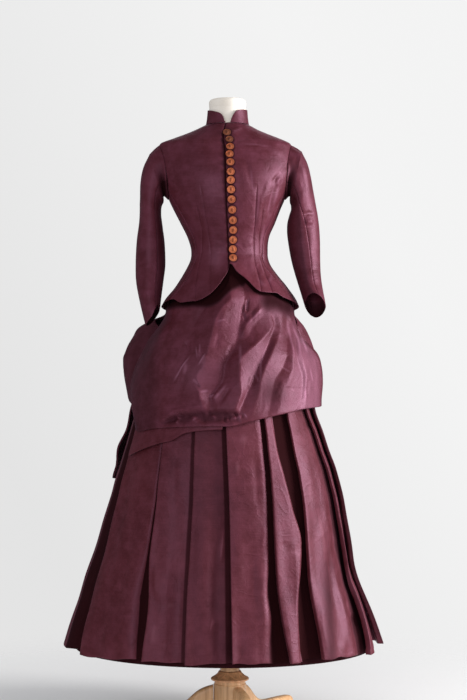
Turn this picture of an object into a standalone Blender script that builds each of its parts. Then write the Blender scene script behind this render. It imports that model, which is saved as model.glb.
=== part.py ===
"""Bustle dress on a dress form: fitted buttoned basque, draped apron overskirt with back drapery,
knife-pleated skirt, on a limbless form with a turned pole and three curved legs.  Metres, +Z up, front at -Y."""
import bpy
import bmesh
import math
import numpy as np

for thing in list(bpy.data.objects):
    bpy.data.objects.remove(thing)

# ---------------------------------------------------------------- named sizes
CLOTH_WALL = 0.0015      # walls of all the cloth pieces
COLLAR_WALL = 0.0020
SEAM_GAP = 0.00050       # clear space between two neighbouring pieces at a seam
UNDER_LAP = 0.0023       # how far the under front lies behind the over front
NECK_TOP_Z = 1.5020      # top edge of the bodice
WAIST_Z = 1.1800
ARMHOLE_Z, ARMHOLE_HALF_HEIGHT, ARMHOLE_HALF_TURN = 1.3850, 0.0680, 28.0
SKIRT_TOP_Z, FLOUNCE_TOP_Z, FLOUNCE_HEM_Z, FOUNDATION_HEM_Z = 1.1600, 0.8450, 0.2050, 0.1960
BUTTON_RADIUS = 0.0098

# ---------------------------------------------------------------- ring tables
# columns: height, half width on -X, half width on +X, front depth, back depth, depth at which it is widest
BODY = np.array([
    (1.010, 0.1750, 0.1740, 0.1550, 0.2960, 0.030), (1.020, 0.1720, 0.1720, 0.1520, 0.2860, 0.030),
    (1.045, 0.1670, 0.1680, 0.1460, 0.2560, 0.020), (1.070, 0.1575, 0.1615, 0.1375, 0.2280, 0.010),
    (1.100, 0.1355, 0.1425, 0.1255, 0.1920, 0.000), (1.125, 0.1195, 0.1220, 0.1130, 0.1500, 0.000),
    (1.150, 0.1055, 0.1035, 0.1015, 0.1120, 0.000), (1.165, 0.0988, 0.0968, 0.0952, 0.0960, 0.000),
    (1.180, 0.0965, 0.0945, 0.0900, 0.0870, 0.000), (1.195, 0.0975, 0.0945, 0.0905, 0.0850, 0.000),
    (1.225, 0.1070, 0.0985, 0.0970, 0.0900, 0.000), (1.256, 0.1225, 0.1120, 0.1070, 0.0970, 0.000),
    (1.294, 0.1420, 0.1270, 0.1190, 0.1040, 0.000), (1.325, 0.1570, 0.1410, 0.1260, 0.1080, 0.000),
    (1.355, 0.1710, 0.1540, 0.1260, 0.1100, 0.000), (1.385, 0.1790, 0.1610, 0.1200, 0.1100, 0.000),
    (1.415, 0.1810, 0.1590, 0.1080, 0.1060, 0.000), (1.440, 0.1790, 0.1520, 0.0950, 0.0960, 0.000),
    (1.4565, 0.1740, 0.1430, 0.0830, 0.0840, 0.000), (1.468, 0.1450, 0.1180, 0.0740, 0.0740, 0.000),
    (1.480, 0.1120, 0.0920, 0.0660, 0.0660, 0.000), (1.490, 0.0880, 0.0710, 0.0600, 0.0600, 0.000),
    (1.4965, 0.0740, 0.0595, 0.0560, 0.0570, 0.000), (1.505, 0.0600, 0.0470, 0.0520, 0.0530, 0.000),
    (1.540, 0.0555, 0.0435, 0.0490, 0.0500, 0.000)])
COLLAR = np.array([
    (1.500, 0.0610, 0.0485, 0.0560, 0.0560, 0.000), (1.515, 0.0580, 0.0460, 0.0535, 0.0530, 0.000),
    (1.550, 0.0550, 0.0430, 0.0500, 0.0510, 0.000)])
FORM = np.array([
    (0.980, 0.1000, 0.1000, 0.0900, 0.0800, 0.000), (1.000, 0.1080, 0.1080, 0.0970, 0.0890, 0.000),
    (1.050, 0.1120, 0.1120, 0.1020, 0.0960, 0.000), (1.100, 0.1060, 0.1060, 0.0970, 0.0910, 0.000),
    (1.140, 0.0935, 0.0920, 0.0865, 0.0830, 0.000), (1.165, 0.0880, 0.0860, 0.0810, 0.0770, 0.000),
    (1.180, 0.0870, 0.0850, 0.0795, 0.0760, 0.000), (1.195, 0.0890, 0.0860, 0.0815, 0.0765, 0.000),
    (1.225, 0.1000, 0.0915, 0.0900, 0.0830, 0.000), (1.256, 0.1165, 0.1060, 0.1010, 0.0910, 0.000),
    (1.294, 0.1365, 0.1215, 0.1130, 0.0985, 0.000), (1.325, 0.1515, 0.1355, 0.1200, 0.1025, 0.000),
    (1.355, 0.1655, 0.1485, 0.1200, 0.1045, 0.000), (1.385, 0.1735, 0.1555, 0.1140, 0.1045, 0.000),
    (1.415, 0.1750, 0.1530, 0.1020, 0.1000, 0.000), (1.437, 0.1720, 0.1450, 0.0890, 0.0900, 0.000),
    (1.4500, 0.1640, 0.1340, 0.0780, 0.0790, 0.000), (1.4615, 0.1400, 0.1130, 0.0690, 0.0690, 0.000),
    (1.4735, 0.1070, 0.0870, 0.0610, 0.0610, 0.000), (1.4835, 0.0830, 0.0660, 0.0550, 0.0550, 0.000),
    (1.490, 0.0690, 0.0545, 0.0510, 0.0520, 0.000), (1.498, 0.0560, 0.0430, 0.0480, 0.0490, 0.000),
    (1.5475, 0.0515, 0.0395, 0.0455, 0.0465, 0.000)])
FLOUNCE = np.array([
    (0.850, 0.2265, 0.2140, 0.1890, 0.3000, 0.030), (0.790, 0.2365, 0.2195, 0.1970, 0.3080, 0.030),
    (0.740, 0.2500, 0.2380, 0.2050, 0.3180, 0.030), (0.690, 0.2650, 0.2545, 0.2130, 0.3280, 0.035),
    (0.650, 0.2770, 0.2695, 0.2190, 0.3360, 0.035), (0.620, 0.2870, 0.2775, 0.2230, 0.3420, 0.035),
    (0.579, 0.2980, 0.2875, 0.2290, 0.3500, 0.040), (0.519, 0.3170, 0.2960, 0.2370, 0.3620, 0.040),
    (0.450, 0.3380, 0.3060, 0.2460, 0.3760, 0.045), (0.374, 0.3660, 0.3225, 0.2565, 0.3940, 0.050),
    (0.309, 0.3850, 0.3475, 0.2670, 0.4100, 0.050), (0.249, 0.4070, 0.3725, 0.2770, 0.4260, 0.055),
    (0.190, 0.4270, 0.3950, 0.2870, 0.4430, 0.060)])[::-1]
FOUNDATION_UPPER = np.array([
    (0.855, 0.2120, 0.2000, 0.1740, 0.2850, 0.030), (0.900, 0.2050, 0.1940, 0.1590, 0.2760, 0.030),
    (0.950, 0.1880, 0.1780, 0.1470, 0.2620, 0.030), (1.000, 0.1640, 0.1560, 0.1350, 0.2420, 0.030),
    (1.045, 0.1480, 0.1490, 0.1250, 0.2220, 0.020), (1.070, 0.1390, 0.1420, 0.1190, 0.2030, 0.010),
    (1.100, 0.1230, 0.1280, 0.1100, 0.1680, 0.000), (1.125, 0.1090, 0.1110, 0.1010, 0.1270, 0.000),
    (1.150, 0.0965, 0.0945, 0.0905, 0.0930, 0.000), (1.168, 0.0915, 0.0895, 0.0850, 0.0815, 0.000)])
APRON = np.array([
    (1.168, 0.0950, 0.0930, 0.0895, 0.0865, 0.000), (1.150, 0.1010, 0.0990, 0.0950, 0.1030, 0.000),
    (1.125, 0.1145, 0.1170, 0.1080, 0.1400, 0.000), (1.100, 0.1300, 0.1370, 0.1200, 0.1820, 0.000),
    (1.070, 0.1520, 0.1560, 0.1320, 0.2180, 0.010), (1.045, 0.1610, 0.1620, 0.1400, 0.2400, 0.020),
    (1.020, 0.1690, 0.1660, 0.1480, 0.2575, 0.030), (1.0015, 0.1790, 0.1690, 0.1540, 0.2680, 0.030),
    (0.9715, 0.1990, 0.1810, 0.1630, 0.2850, 0.030), (0.9515, 0.2100, 0.1990, 0.1690, 0.2940, 0.030),
    (0.929, 0.2210, 0.2180, 0.1760, 0.3020, 0.030), (0.8965, 0.2360, 0.2275, 0.1850, 0.3120, 0.030),
    (0.864, 0.2460, 0.2300, 0.1940, 0.3200, 0.030), (0.829, 0.2500, 0.2300, 0.2030, 0.3280, 0.030),
    (0.7915, 0.2530, 0.2330, 0.2110, 0.3370, 0.030), (0.740, 0.2640, 0.2500, 0.2190, 0.3450, 0.030),
    (0.690, 0.2790, 0.2650, 0.2260, 0.3520, 0.035), (0.640, 0.2920, 0.2830, 0.2330, 0.3600, 0.035)])[::-1]
POUF = np.array([
    (1.168, 0.0950, 0.0930, 0.0885, 0.0865, 0.000), (1.150, 0.1010, 0.0990, 0.0965, 0.1030, 0.000),
    (1.125, 0.1145, 0.1170, 0.1080, 0.1400, 0.000), (1.100, 0.1300, 0.1370, 0.1200, 0.1820, 0.000),
    (1.070, 0.1520, 0.1560, 0.1300, 0.2180, 0.010), (1.045, 0.1600, 0.1615, 0.1150, 0.2400, 0.020),
    (1.030, 0.1650, 0.1630, 0.1000, 0.2500, 0.035), (1.018, 0.1800, 0.1700, 0.0800, 0.2690, 0.060),
    (1.000, 0.2230, 0.1880, 0.0340, 0.3030, 0.100), (0.975, 0.2470, 0.2030, 0.0270, 0.3290, 0.110),
    (0.945, 0.2650, 0.2150, 0.0270, 0.3430, 0.110), (0.915, 0.2740, 0.2250, 0.0330, 0.3480, 0.110),
    (0.880, 0.2720, 0.2270, 0.0600, 0.3440, 0.110), (0.845, 0.2660, 0.2270, 0.1150, 0.3360, 0.110),
    (0.815, 0.2600, 0.2270, 0.2000, 0.3300, 0.110), (0.800, 0.2580, 0.2265, 0.2500, 0.3270, 0.110)])[::-1]
TAIL = np.array([
    (0.870, 0.2440, 0.2120, 0.0000, 0.3080, 0.100), (0.820, 0.2480, 0.2145, 0.0000, 0.3130, 0.100),
    (0.790, 0.2560, 0.2200, 0.0000, 0.3190, 0.100), (0.740, 0.2660, 0.2380, 0.0000, 0.3310, 0.100),
    (0.690, 0.2890, 0.2540, 0.0000, 0.3430, 0.100), (0.650, 0.2920, 0.2680, 0.0000, 0.3510, 0.100),
    (0.620, 0.3010, 0.2780, 0.0000, 0.3570, 0.100), (0.540, 0.3250, 0.2950, 0.0000, 0.3720, 0.100)])[::-1]


def smooth(xs, ys, x):
    """Monotone cubic through the points (xs, ys); xs rises."""
    xs, ys, x = np.asarray(xs, float), np.asarray(ys, float), np.asarray(x, float)
    h, d = np.diff(xs), np.diff(ys) / np.diff(xs)
    m = np.concatenate([[d[0]], (d[:-1] + d[1:]) / 2, [d[-1]]])
    flat = np.concatenate([[False], d[:-1] * d[1:] <= 0, [False]])
    m[flat] = 0.0
    for k in range(len(d)):
        top = 3.0 * abs(d[k])
        m[k], m[k + 1] = np.clip(m[k], -top, top), np.clip(m[k + 1], -top, top)
    x = np.clip(x, xs[0], xs[-1])
    k = np.clip(np.searchsorted(xs, x, side="right") - 1, 0, len(h) - 1)
    t = (x - xs[k]) / h[k]
    return ((2 * t**3 - 3 * t**2 + 1) * ys[k] + (t**3 - 2 * t**2 + t) * h[k] * m[k]
            + (-2 * t**3 + 3 * t**2) * ys[k + 1] + (t**3 - t**2) * h[k] * m[k + 1])


def ring_point(table, turn, z):
    """Point of the ring surface; turn in degrees from the front (-Y), positive towards +X."""
    turn, z = np.broadcast_arrays(np.asarray(turn, float), np.asarray(z, float))
    s, c = np.sin(np.radians(turn)), np.cos(np.radians(turn))
    left, right, front, back, mid = (smooth(table[:, 0], table[:, k], z) for k in range(1, 6))
    x = np.where(s < 0, left, right) * s
    y = mid - np.where(c > 0, front + mid, back - mid) * c
    return np.stack([x, y, z], axis=-1)


def ring_normal(table, turn, z):
    a = ring_point(table, turn + 0.05, z) - ring_point(table, turn - 0.05, z)
    b = ring_point(table, turn, z + 2e-4) - ring_point(table, turn, z - 2e-4)
    n = np.cross(a, b)
    return n / np.maximum(np.linalg.norm(n, axis=-1, keepdims=True), 1e-12)


def turn_at(table, x, z):
    """Turn on the front half at which the ring has this x."""
    x, z = np.broadcast_arrays(np.asarray(x, float), np.asarray(z, float))
    half = np.where(x < 0, smooth(table[:, 0], table[:, 1], z), smooth(table[:, 0], table[:, 2], z))
    return np.degrees(np.arcsin(np.clip(x / half, -0.999, 0.999)))
# ---- end of core

# columns: height, turn of the pleat's edge; one table for each front pleat, edges named from -X to +X
FRONT_PLEATS = (
    ((0.190, -59.5), (0.265, -62.5), (0.385, -64.5), (0.500, -66.0), (0.850, -72.0)),
    ((0.190, -29.2), (0.357, -31.2), (0.440, -34.2), (0.540, -35.3), (0.718, -39.0), (0.850, -41.0)),
    ((0.190, -14.2), (0.320, -15.4), (0.445, -16.3), (0.587, -17.2), (0.743, -19.5), (0.850, -20.5)),
    ((0.190, 1.0), (0.345, 0.7), (0.600, -0.3), (0.756, -2.0), (0.850, -3.0)),
    ((0.190, 22.0), (0.307, 21.2), (0.514, 21.1), (0.776, 22.2), (0.850, 22.6)),
    ((0.190, 35.3), (0.307, 36.8), (0.487, 38.3), (0.700, 38.6), (0.850, 40.5)),
    ((0.190, 62.5), (0.299, 67.5), (0.391, 69.5), (0.473, 67.5), (0.608, 64.4), (0.760, 61.5), (0.850, 57.0)),
    ((0.190, 90.0), (0.391, 87.0), (0.571, 80.0), (0.686, 75.0), (0.850, 73.5)),
)
BACK_PLEAT_TURNS = (106.0, 123.0, 140.0, 156.0, 172.0, 188.0, 204.0, 220.0, 237.0, 254.0, 272.0)
PLEAT_HEIGHT = ((0.190, 0.0300), (0.309, 0.0250), (0.450, 0.0200), (0.620, 0.0150), (0.850, 0.0105))
PLEAT_UNDERLAP = ((0.190, 0.0380), (0.450, 0.0300), (0.850, 0.0220))   # arc length under the next edge
# columns: share of the way to the next edge, share of the pleat's height (the last two lie under the next edge)
FLOUNCE_ROWS = (0.205, 0.275, 0.350, 0.430, 0.520, 0.620, 0.730, 0.845)

# columns: turn, height of the edge
APRON_HEM = ((-78.0, 0.792), (-73.6, 0.790), (-60.0, 0.743), (-45.3, 0.7516), (-33.4, 0.7559), (-14.7, 0.7593), (-1.4, 0.7596),
             (11.1, 0.7703), (20.9, 0.7788), (29.1, 0.7849), (37.2, 0.7899), (51.1, 0.7981), (76.6, 0.8006), (90.0, 0.8010))
APRON_LEFT = ((0.740, -60.0), (0.765, -66.5), (0.792, -74.0), (0.829, -84.0), (0.860, -88.0), (0.985, -88.0), (1.030, -78.5), (1.170, -78.5))
APRON_RIGHT = ((0.740, 98.0), (0.900, 98.0), (0.945, 96.0), (0.975, 92.5), (1.030, 78.5), (1.170, 78.5))
BAND_BOTTOM = ((-65.5, 0.682), (-54.5, 0.6987), (-40.3, 0.7177), (-32.0, 0.7265), (-25.1, 0.7434), (-20.9, 0.7473), (-3.0, 0.7540))
POUF_LEFT = ((0.790, 294.0), (0.815, 297.0), (0.845, 300.0), (0.880, 305.0), (0.915, 310.0), (0.995, 311.0), (1.030, 279.5), (1.170, 279.5))
POUF_RIGHT = ((0.790, 79.0), (0.850, 74.0), (0.880, 67.0), (0.915, 62.0), (0.995, 61.0), (1.030, 80.5), (1.170, 80.5))
POUF_HEM = ((58.0, 0.812), (90.0, 0.806), (140.0, 0.812), (180.0, 0.800), (220.0, 0.812), (270.0, 0.804), (302.0, 0.815))
TAIL_HEM = ((62.0, 0.655), (90.0, 0.640), (120.0, 0.600), (150.0, 0.566), (180.0, 0.556), (210.0, 0.570), (240.0, 0.602), (268.0, 0.614), (298.0, 0.640))

BODICE_HEM = ((-90.0, 1.047), (-57.6, 1.0650), (-45.0, 1.0564), (-35.5, 1.0584), (-26.6, 1.0612), (-16.3, 1.0798), (-8.7, 1.1067),
              (-2.2, 1.1340), (0.0, 1.1500), (1.3, 1.1500), (9.0, 1.1290), (17.6, 1.1101), (25.0, 1.0864), (33.3, 1.0803),
              (44.5, 1.0792), (51.0, 1.0702), (64.6, 1.0618), (90.0, 1.0480), (112.0, 1.0400), (150.0, 1.0340), (180.0, 1.0320))
FRONT_EDGE = ((1.045, -0.4), (1.1565, -0.4), (1.2105, -1.8), (1.2821, -2.6), (1.4298, -3.3), (1.4887, -7.6), (1.505, -9.0))
UNDERARM_SEAM = ((1.045, 61.0), (1.180, 60.0), (1.250, 62.0), (1.300, 66.5), (1.333, 72.5))
SIDE_SEAM = ((1.040, 111.0), (1.180, 112.0), (1.300, 109.0), (1.333, 107.5))
BACK_SEAM = ((1.030, 149.0), (1.180, 156.0), (1.250, 151.0), (1.320, 141.0), (1.370, 128.0), (1.398, 118.5), (1.405, 117.5))

# columns: outer x, outer z, inner x, inner z, depth of the middle, half depth, turn of the front seam, turn of the back seam
SLEEVE_LEFT = (
    (0.2005, 1.4300, 0.1650, 1.3110, 0.000, 0.0560, 112, 258), (0.2160, 1.3980, 0.1690, 1.3050, 0.002, 0.0560, 116, 258),
    (0.2235, 1.3600, 0.1715, 1.2960, 0.004, 0.0550, 119, 258), (0.2250, 1.3150, 0.1720, 1.2820, 0.006, 0.0530, 121, 258),
    (0.2270, 1.2650, 0.1690, 1.2550, 0.009, 0.0495, 122, 258), (0.2335, 1.2150, 0.1635, 1.2100, 0.012, 0.0470, 122, 258),
    (0.2362, 1.1600, 0.1615, 1.1590, 0.010, 0.0445, 122, 258), (0.2345, 1.1150, 0.1655, 1.1160, -0.005, 0.0410, 122, 258),
    (0.2270, 1.0700, 0.1700, 1.0760, -0.022, 0.0370, 121, 258), (0.2140, 1.0080, 0.1735, 1.0390, -0.040, 0.0330, 120, 258))
SLEEVE_RIGHT = (
    (0.1790, 1.4370, 0.1490, 1.3110, 0.000, 0.0550, 116, 258), (0.1935, 1.4080, 0.1520, 1.3040, 0.002, 0.0550, 114, 258),
    (0.2020, 1.3760, 0.1530, 1.2940, 0.004, 0.0540, 110, 258), (0.2080, 1.3430, 0.1490, 1.2800, 0.006, 0.0530, 102, 258),
    (0.2165, 1.2980, 0.1440, 1.2600, 0.009, 0.0500, 90, 258), (0.2230, 1.2560, 0.1430, 1.2400, 0.011, 0.0490, 82, 258),
    (0.2260, 1.2060, 0.1470, 1.2040, 0.012, 0.0465, 76, 258), (0.2262, 1.1600, 0.1550, 1.1600, 0.006, 0.0435, 73, 258),
    (0.2285, 1.1130, 0.1670, 1.1150, -0.010, 0.0400, 72, 258), (0.2388, 1.0470, 0.1840, 1.0580, -0.036, 0.0340, 72, 258))
# columns: front edge drop, back edge drop (added to the last station's heights)
CUFF_CUT = {-1: (-0.014, 0.004), 1: (0.030, -0.030)}
SLEEVE_STEPS = 16

# columns: x, height of each button's middle
BUTTONS = ((-0.0072, 1.4756), (-0.0013, 1.4569), (0.0004, 1.4376), (-0.0008, 1.4187), (0.0012, 1.3979), (0.0020, 1.3740), (0.0022, 1.3540),
           (0.0029, 1.3310), (0.0041, 1.3082), (0.0056, 1.2835), (0.0071, 1.2586), (0.0078, 1.2353), (0.0075, 1.2115), (0.0070, 1.1880), (0.0075, 1.1652))

# the apron's largest folds; columns of each point: x, height; then depth (+ ridge, - trough) and half width
APRON_FOLDS = (
    (((0.030, 1.060), (0.018, 1.020), (0.004, 0.985)), -0.0035, 0.012),
    (((0.088, 1.040), (0.046, 0.995), (0.010, 0.960)), -0.0040, 0.012),
    (((0.104, 0.990), (0.088, 0.950), (0.072, 0.905), (0.046, 0.865), (0.030, 0.830), (0.006, 0.790)), -0.0060, 0.014),
    (((0.074, 0.970), (0.036, 0.910), (0.024, 0.870), (0.012, 0.835)), 0.0050, 0.013),
    (((0.140, 0.905), (0.124, 0.880), (0.104, 0.865), (0.070, 0.850)), -0.0050, 0.013),
    (((0.144, 0.925), (0.152, 0.870), (0.156, 0.815)), 0.0040, 0.012),
    (((0.010, 1.030), (-0.034, 0.965), (-0.046, 0.910), (-0.074, 0.865), (-0.080, 0.820)), 0.0055, 0.015),
    (((-0.110, 0.960), (-0.106, 0.915), (-0.120, 0.885)), -0.0040, 0.013),
    (((-0.168, 0.945), (-0.158, 0.895)), -0.0040, 0.012),
    (((-0.015, 0.880), (-0.045, 0.825)), 0.0040, 0.013),
    (((0.214, 0.925), (0.222, 0.830)), -0.0035, 0.012),
)


def to_polyline(px, pz, line):
    """Distance to the polyline and the share of its length, for arrays px, pz."""
    line = np.asarray(line, float)
    span = np.linalg.norm(np.diff(line, axis=0), axis=1)
    start = np.concatenate([[0.0], np.cumsum(span)])
    best, share = np.full(px.shape, 1e9), np.zeros(px.shape)
    for k in range(len(span)):
        d = (line[k + 1] - line[k]) / span[k]
        t = np.clip((px - line[k, 0]) * d[0] + (pz - line[k, 1]) * d[1], 0, span[k])
        r = np.hypot(px - line[k, 0] - t * d[0], pz - line[k, 1] - t * d[1])
        near = r < best
        best, share = np.where(near, r, best), np.where(near, (start[k] + t) / start[-1], share)
    return best, share


def fold_height(px, pz, folds):
    total = np.zeros(px.shape)
    for line, depth, width in folds:
        r, share = to_polyline(px, pz, line)
        total += depth * np.exp(-(r / width) ** 2) * np.clip(4 * share * (1 - share) + 0.25, 0, 1)
    return total


# ---------------------------------------------------------------- mesh building
# columns: colour, roughness, metallic, angle above which an edge stays sharp
FINISHES = {"taffeta": ((0.127, 0.030, 0.047), 0.42, 0.0, 38.0), "metal": ((0.61, 0.17, 0.06), 0.32, 1.0, 30.0),
            "jersey": ((0.71, 0.66, 0.57), 0.85, 0.0, 35.0), "pale_wood": ((0.48, 0.24, 0.11), 0.45, 0.0, 35.0),
            "dark_wood": ((0.095, 0.035, 0.018), 0.38, 0.0, 35.0)}
FINISH_OF = {"button": "metal", "form": "jersey", "stand_cone": "dark_wood", "stand": "pale_wood"}

frame = bpy.data.objects.new("dress_and_stand", None)
bpy.context.scene.collection.objects.link(frame)


def finish_of(name):
    for start, finish in FINISH_OF.items():
        if name.startswith(start):
            return FINISHES[finish]
    return FINISHES["taffeta"]


def add_bmesh(name, bm):
    """Makes the named solid from a closed bmesh, with its own material and smooth shading, on the common frame."""
    mesh = bpy.data.meshes.new(name)
    bmesh.ops.recalc_face_normals(bm, faces=bm.faces)
    bm.to_mesh(mesh)
    bm.free()
    colour, roughness, metallic, sharp = finish_of(name)
    material = bpy.data.materials.new(name + "_finish")
    material.use_nodes = True
    shader = material.node_tree.nodes["Principled BSDF"]
    shader.inputs["Base Color"].default_value = (*colour, 1.0)
    shader.inputs["Roughness"].default_value = roughness
    shader.inputs["Metallic"].default_value = metallic
    mesh.materials.append(material)
    mesh.shade_smooth()
    mesh.set_sharp_from_angle(angle=math.radians(sharp))
    part = bpy.data.objects.new(name, mesh)
    bpy.context.scene.collection.objects.link(part)
    part.parent = frame
    return part


def add_solid(name, points, triangles):
    bm = bmesh.new()
    verts = [bm.verts.new(p) for p in points]
    for tri in triangles:
        bm.faces.new([verts[k] for k in tri])
    return add_bmesh(name, bm)


def add_sheet(name, outer, inner, round_it=False):
    """A cloth wall between two grids [row][column] of points; round_it joins the last column to the first."""
    outer, inner = np.asarray(outer, float), np.asarray(inner, float)
    rows, cols = outer.shape[:2]
    points = np.concatenate([outer.reshape(-1, 3), inner.reshape(-1, 3)])
    base, tris = rows * cols, []
    at = lambda r, c, side: side * base + r * cols + (c % cols)
    for r in range(rows - 1):
        for c in range(cols if round_it else cols - 1):
            a, b, d, e = (r, c), (r, c + 1), (r + 1, c + 1), (r + 1, c)
            for side in (0, 1):
                p, q, s, t = (at(*k, side) for k in (a, b, d, e))
                if (c + r) % 2:
                    tris += [(p, q, s), (p, s, t)] if side == 0 else [(p, s, q), (p, t, s)]
                else:
                    tris += [(p, q, t), (q, s, t)] if side == 0 else [(p, t, q), (q, t, s)]
    for c in range(cols if round_it else cols - 1):
        for r in (0, rows - 1):
            p, q, s, t = at(r, c, 0), at(r, c + 1, 0), at(r, c + 1, 1), at(r, c, 1)
            tris += [(p, q, s), (p, s, t)]
    if not round_it:
        for r in range(rows - 1):
            for c in (0, cols - 1):
                p, q, s, t = at(r, c, 0), at(r + 1, c, 0), at(r + 1, c, 1), at(r, c, 1)
                tris += [(p, q, s), (p, s, t)]
    return add_solid(name, points, tris)


def add_filled(name, rings):
    """A solid through closed rings [ring][point]; its first and last rings are closed flat."""
    rings = np.asarray(rings, float)
    rows, cols = rings.shape[:2]
    points = np.concatenate([rings.reshape(-1, 3), [rings[0].mean(0)], [rings[-1].mean(0)]])
    tris, low, high = [], rows * cols, rows * cols + 1
    for r in range(rows - 1):
        for c in range(cols):
            d = (c + 1) % cols
            tris += [(r * cols + c, r * cols + d, (r + 1) * cols + d), (r * cols + c, (r + 1) * cols + d, (r + 1) * cols + c)]
    for c in range(cols):
        d = (c + 1) % cols
        tris += [(low, d, c), (high, (rows - 1) * cols + c, (rows - 1) * cols + d)]
    return add_solid(name, points, tris)


def panel_grid(turn_a, turn_b, z_low, z_high, rows, cols):
    """Turns and heights of a panel: rows are shares from its low to its high edge; turn_a/b give its sides."""
    u = np.linspace(0, 1, cols)[None, :]
    v = np.asarray(rows, float)[:, None]
    guess_z = np.full((len(rows), cols), 1.1)
    turn = np.zeros_like(guess_z)
    for _ in range(4):
        a, b = turn_a(guess_z), turn_b(guess_z)
        turn = a + (b - a) * u
        guess_z = z_low(turn) + (z_high(turn) - z_low(turn)) * v
    return turn, guess_z


def along(table):
    xs, ys = np.array(table, float).T
    return lambda x: smooth(xs, ys, x)


def gap_turn(table, turn, z, gap):
    """Degrees that equal a length of gap along the ring."""
    p, q = ring_point(table, turn - 0.5, z), ring_point(table, turn + 0.5, z)
    return gap / np.maximum(np.linalg.norm(q - p, axis=-1), 1e-6)


def wall_panel(name, table, turn, z, lift=0.0, wall=CLOTH_WALL):
    p, n = ring_point(table, turn, z), ring_normal(table, turn, z)
    lift = np.broadcast_to(np.asarray(lift, float), turn.shape)[..., None]
    return add_sheet(name, p + n * lift, p + n * (lift - wall))


# ---------------------------------------------------------------- the bodice
hem_z = along(BODICE_HEM)
front_edge, underarm_seam, side_seam, back_seam = (along(t) for t in (FRONT_EDGE, UNDERARM_SEAM, SIDE_SEAM, BACK_SEAM))


def armhole_turn(z):
    """Half turn of the armhole at this height, 0 outside it."""
    return ARMHOLE_HALF_TURN * np.sqrt(np.clip(1 - ((z - ARMHOLE_Z) / ARMHOLE_HALF_HEIGHT) ** 2, 0, 1))


UPPER_ROWS = (1.210, 1.245, 1.280, 1.310, 1.333, 1.358, 1.385, 1.412, 1.435, 1.4495, 1.4560, 1.4660, 1.4760, 1.4860, 1.4950, NECK_TOP_Z)
LOWER_SHARES = (0.0, 0.27, 0.52, 0.78, 1.0)


def bodice_rows(turn, upper):
    """Heights row by row: below the waist they share out the way to the hem, above it they are level."""
    low = hem_z(np.abs(turn)) if np.all(turn > 70) else hem_z(turn)
    rows = [low + (WAIST_Z - low) * s for s in LOWER_SHARES]
    return rows + [np.full_like(turn, z) for z in upper]


def bodice_panel(name, side, turn_a, turn_b, upper, cols, lap=False, gaps=(1, 1)):
    """side +1 is the +X half, -1 the -X half; turn_a and turn_b are turns of the seams at a height.
    lap: the first columns are the part that lies behind the other front."""
    u = np.linspace(0, 1, cols)
    turn_rows, z_rows = [], []
    for k in range(len(LOWER_SHARES) + len(upper)):
        z = np.full(cols, 1.10)
        for _ in range(6):
            a, b = turn_a(z), turn_b(z)
            a = a + gaps[0] * gap_turn(BODY, side * a, z, SEAM_GAP / 2)
            b = b - gaps[1] * gap_turn(BODY, side * b, z, SEAM_GAP / 2)
            turn = side * (a + (b - a) * u)
            if lap:
                start = a + 13.5
                turn = side * np.concatenate([(a + np.zeros(cols))[:1], (a + 6.0 + np.zeros(cols))[:1], (a + 9.8 + np.zeros(cols))[:1],
                                              (start + (b - start) * (np.arange(cols) - 3) / (cols - 4.0))[3:]])
            low = hem_z(turn) if side > 0 else np.where(turn < -90, hem_z(-turn), hem_z(turn))
            if k < len(LOWER_SHARES):
                z = low + (WAIST_Z - low) * LOWER_SHARES[k]
            else:
                row = upper[k - len(LOWER_SHARES)]
                z = row(turn) if callable(row) else np.full(cols, row)
        turn_rows.append(turn)
        z_rows.append(z)
    turn, z = np.array(turn_rows), np.array(z_rows)
    lift = np.zeros_like(turn)
    if lap:
        lift[:, :3] = -UNDER_LAP
    return wall_panel(name, BODY, turn, z, lift)


def front_outer_turn(z):
    return np.where(z < 1.333, underarm_seam(z), 90.0 - armhole_turn(z))


def back_outer_turn(z):
    return np.where(z < 1.404, back_seam(z), 90.0 + armhole_turn(z))


bodice_panel("bodice_front_left", 1, front_edge, front_outer_turn, UPPER_ROWS, 8, gaps=(0, 1))
bodice_panel("bodice_front_right", -1, lambda z: -front_edge(z) - 9.0, front_outer_turn, UPPER_ROWS, 10, lap=True, gaps=(0, 1))
for side, word in ((1, "left"), (-1, "right")):
    # underarm piece: its top is the armhole's underside
    top = lambda turn: ARMHOLE_Z - ARMHOLE_HALF_HEIGHT * np.sqrt(np.clip(1 - ((np.abs(turn) - 90) / ARMHOLE_HALF_TURN) ** 2, 0, 1)) - SEAM_GAP / 2
    bodice_panel("bodice_underarm_" + word, side, underarm_seam, side_seam,
                 (1.210, 1.245, 1.280, lambda turn: np.minimum(1.310, top(turn) - 0.009), top), 6)
    bodice_panel("bodice_side_back_" + word, side, lambda z: np.where(z < 1.333, side_seam(z), 90.0 + armhole_turn(z)), back_seam,
                 (1.210, 1.245, 1.280, 1.310, 1.333, 1.358, 1.380, 1.396), 5)
    bodice_panel("bodice_back_" + word, side, back_outer_turn, lambda z: 180.0 + 0 * z, UPPER_ROWS, 6)

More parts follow.
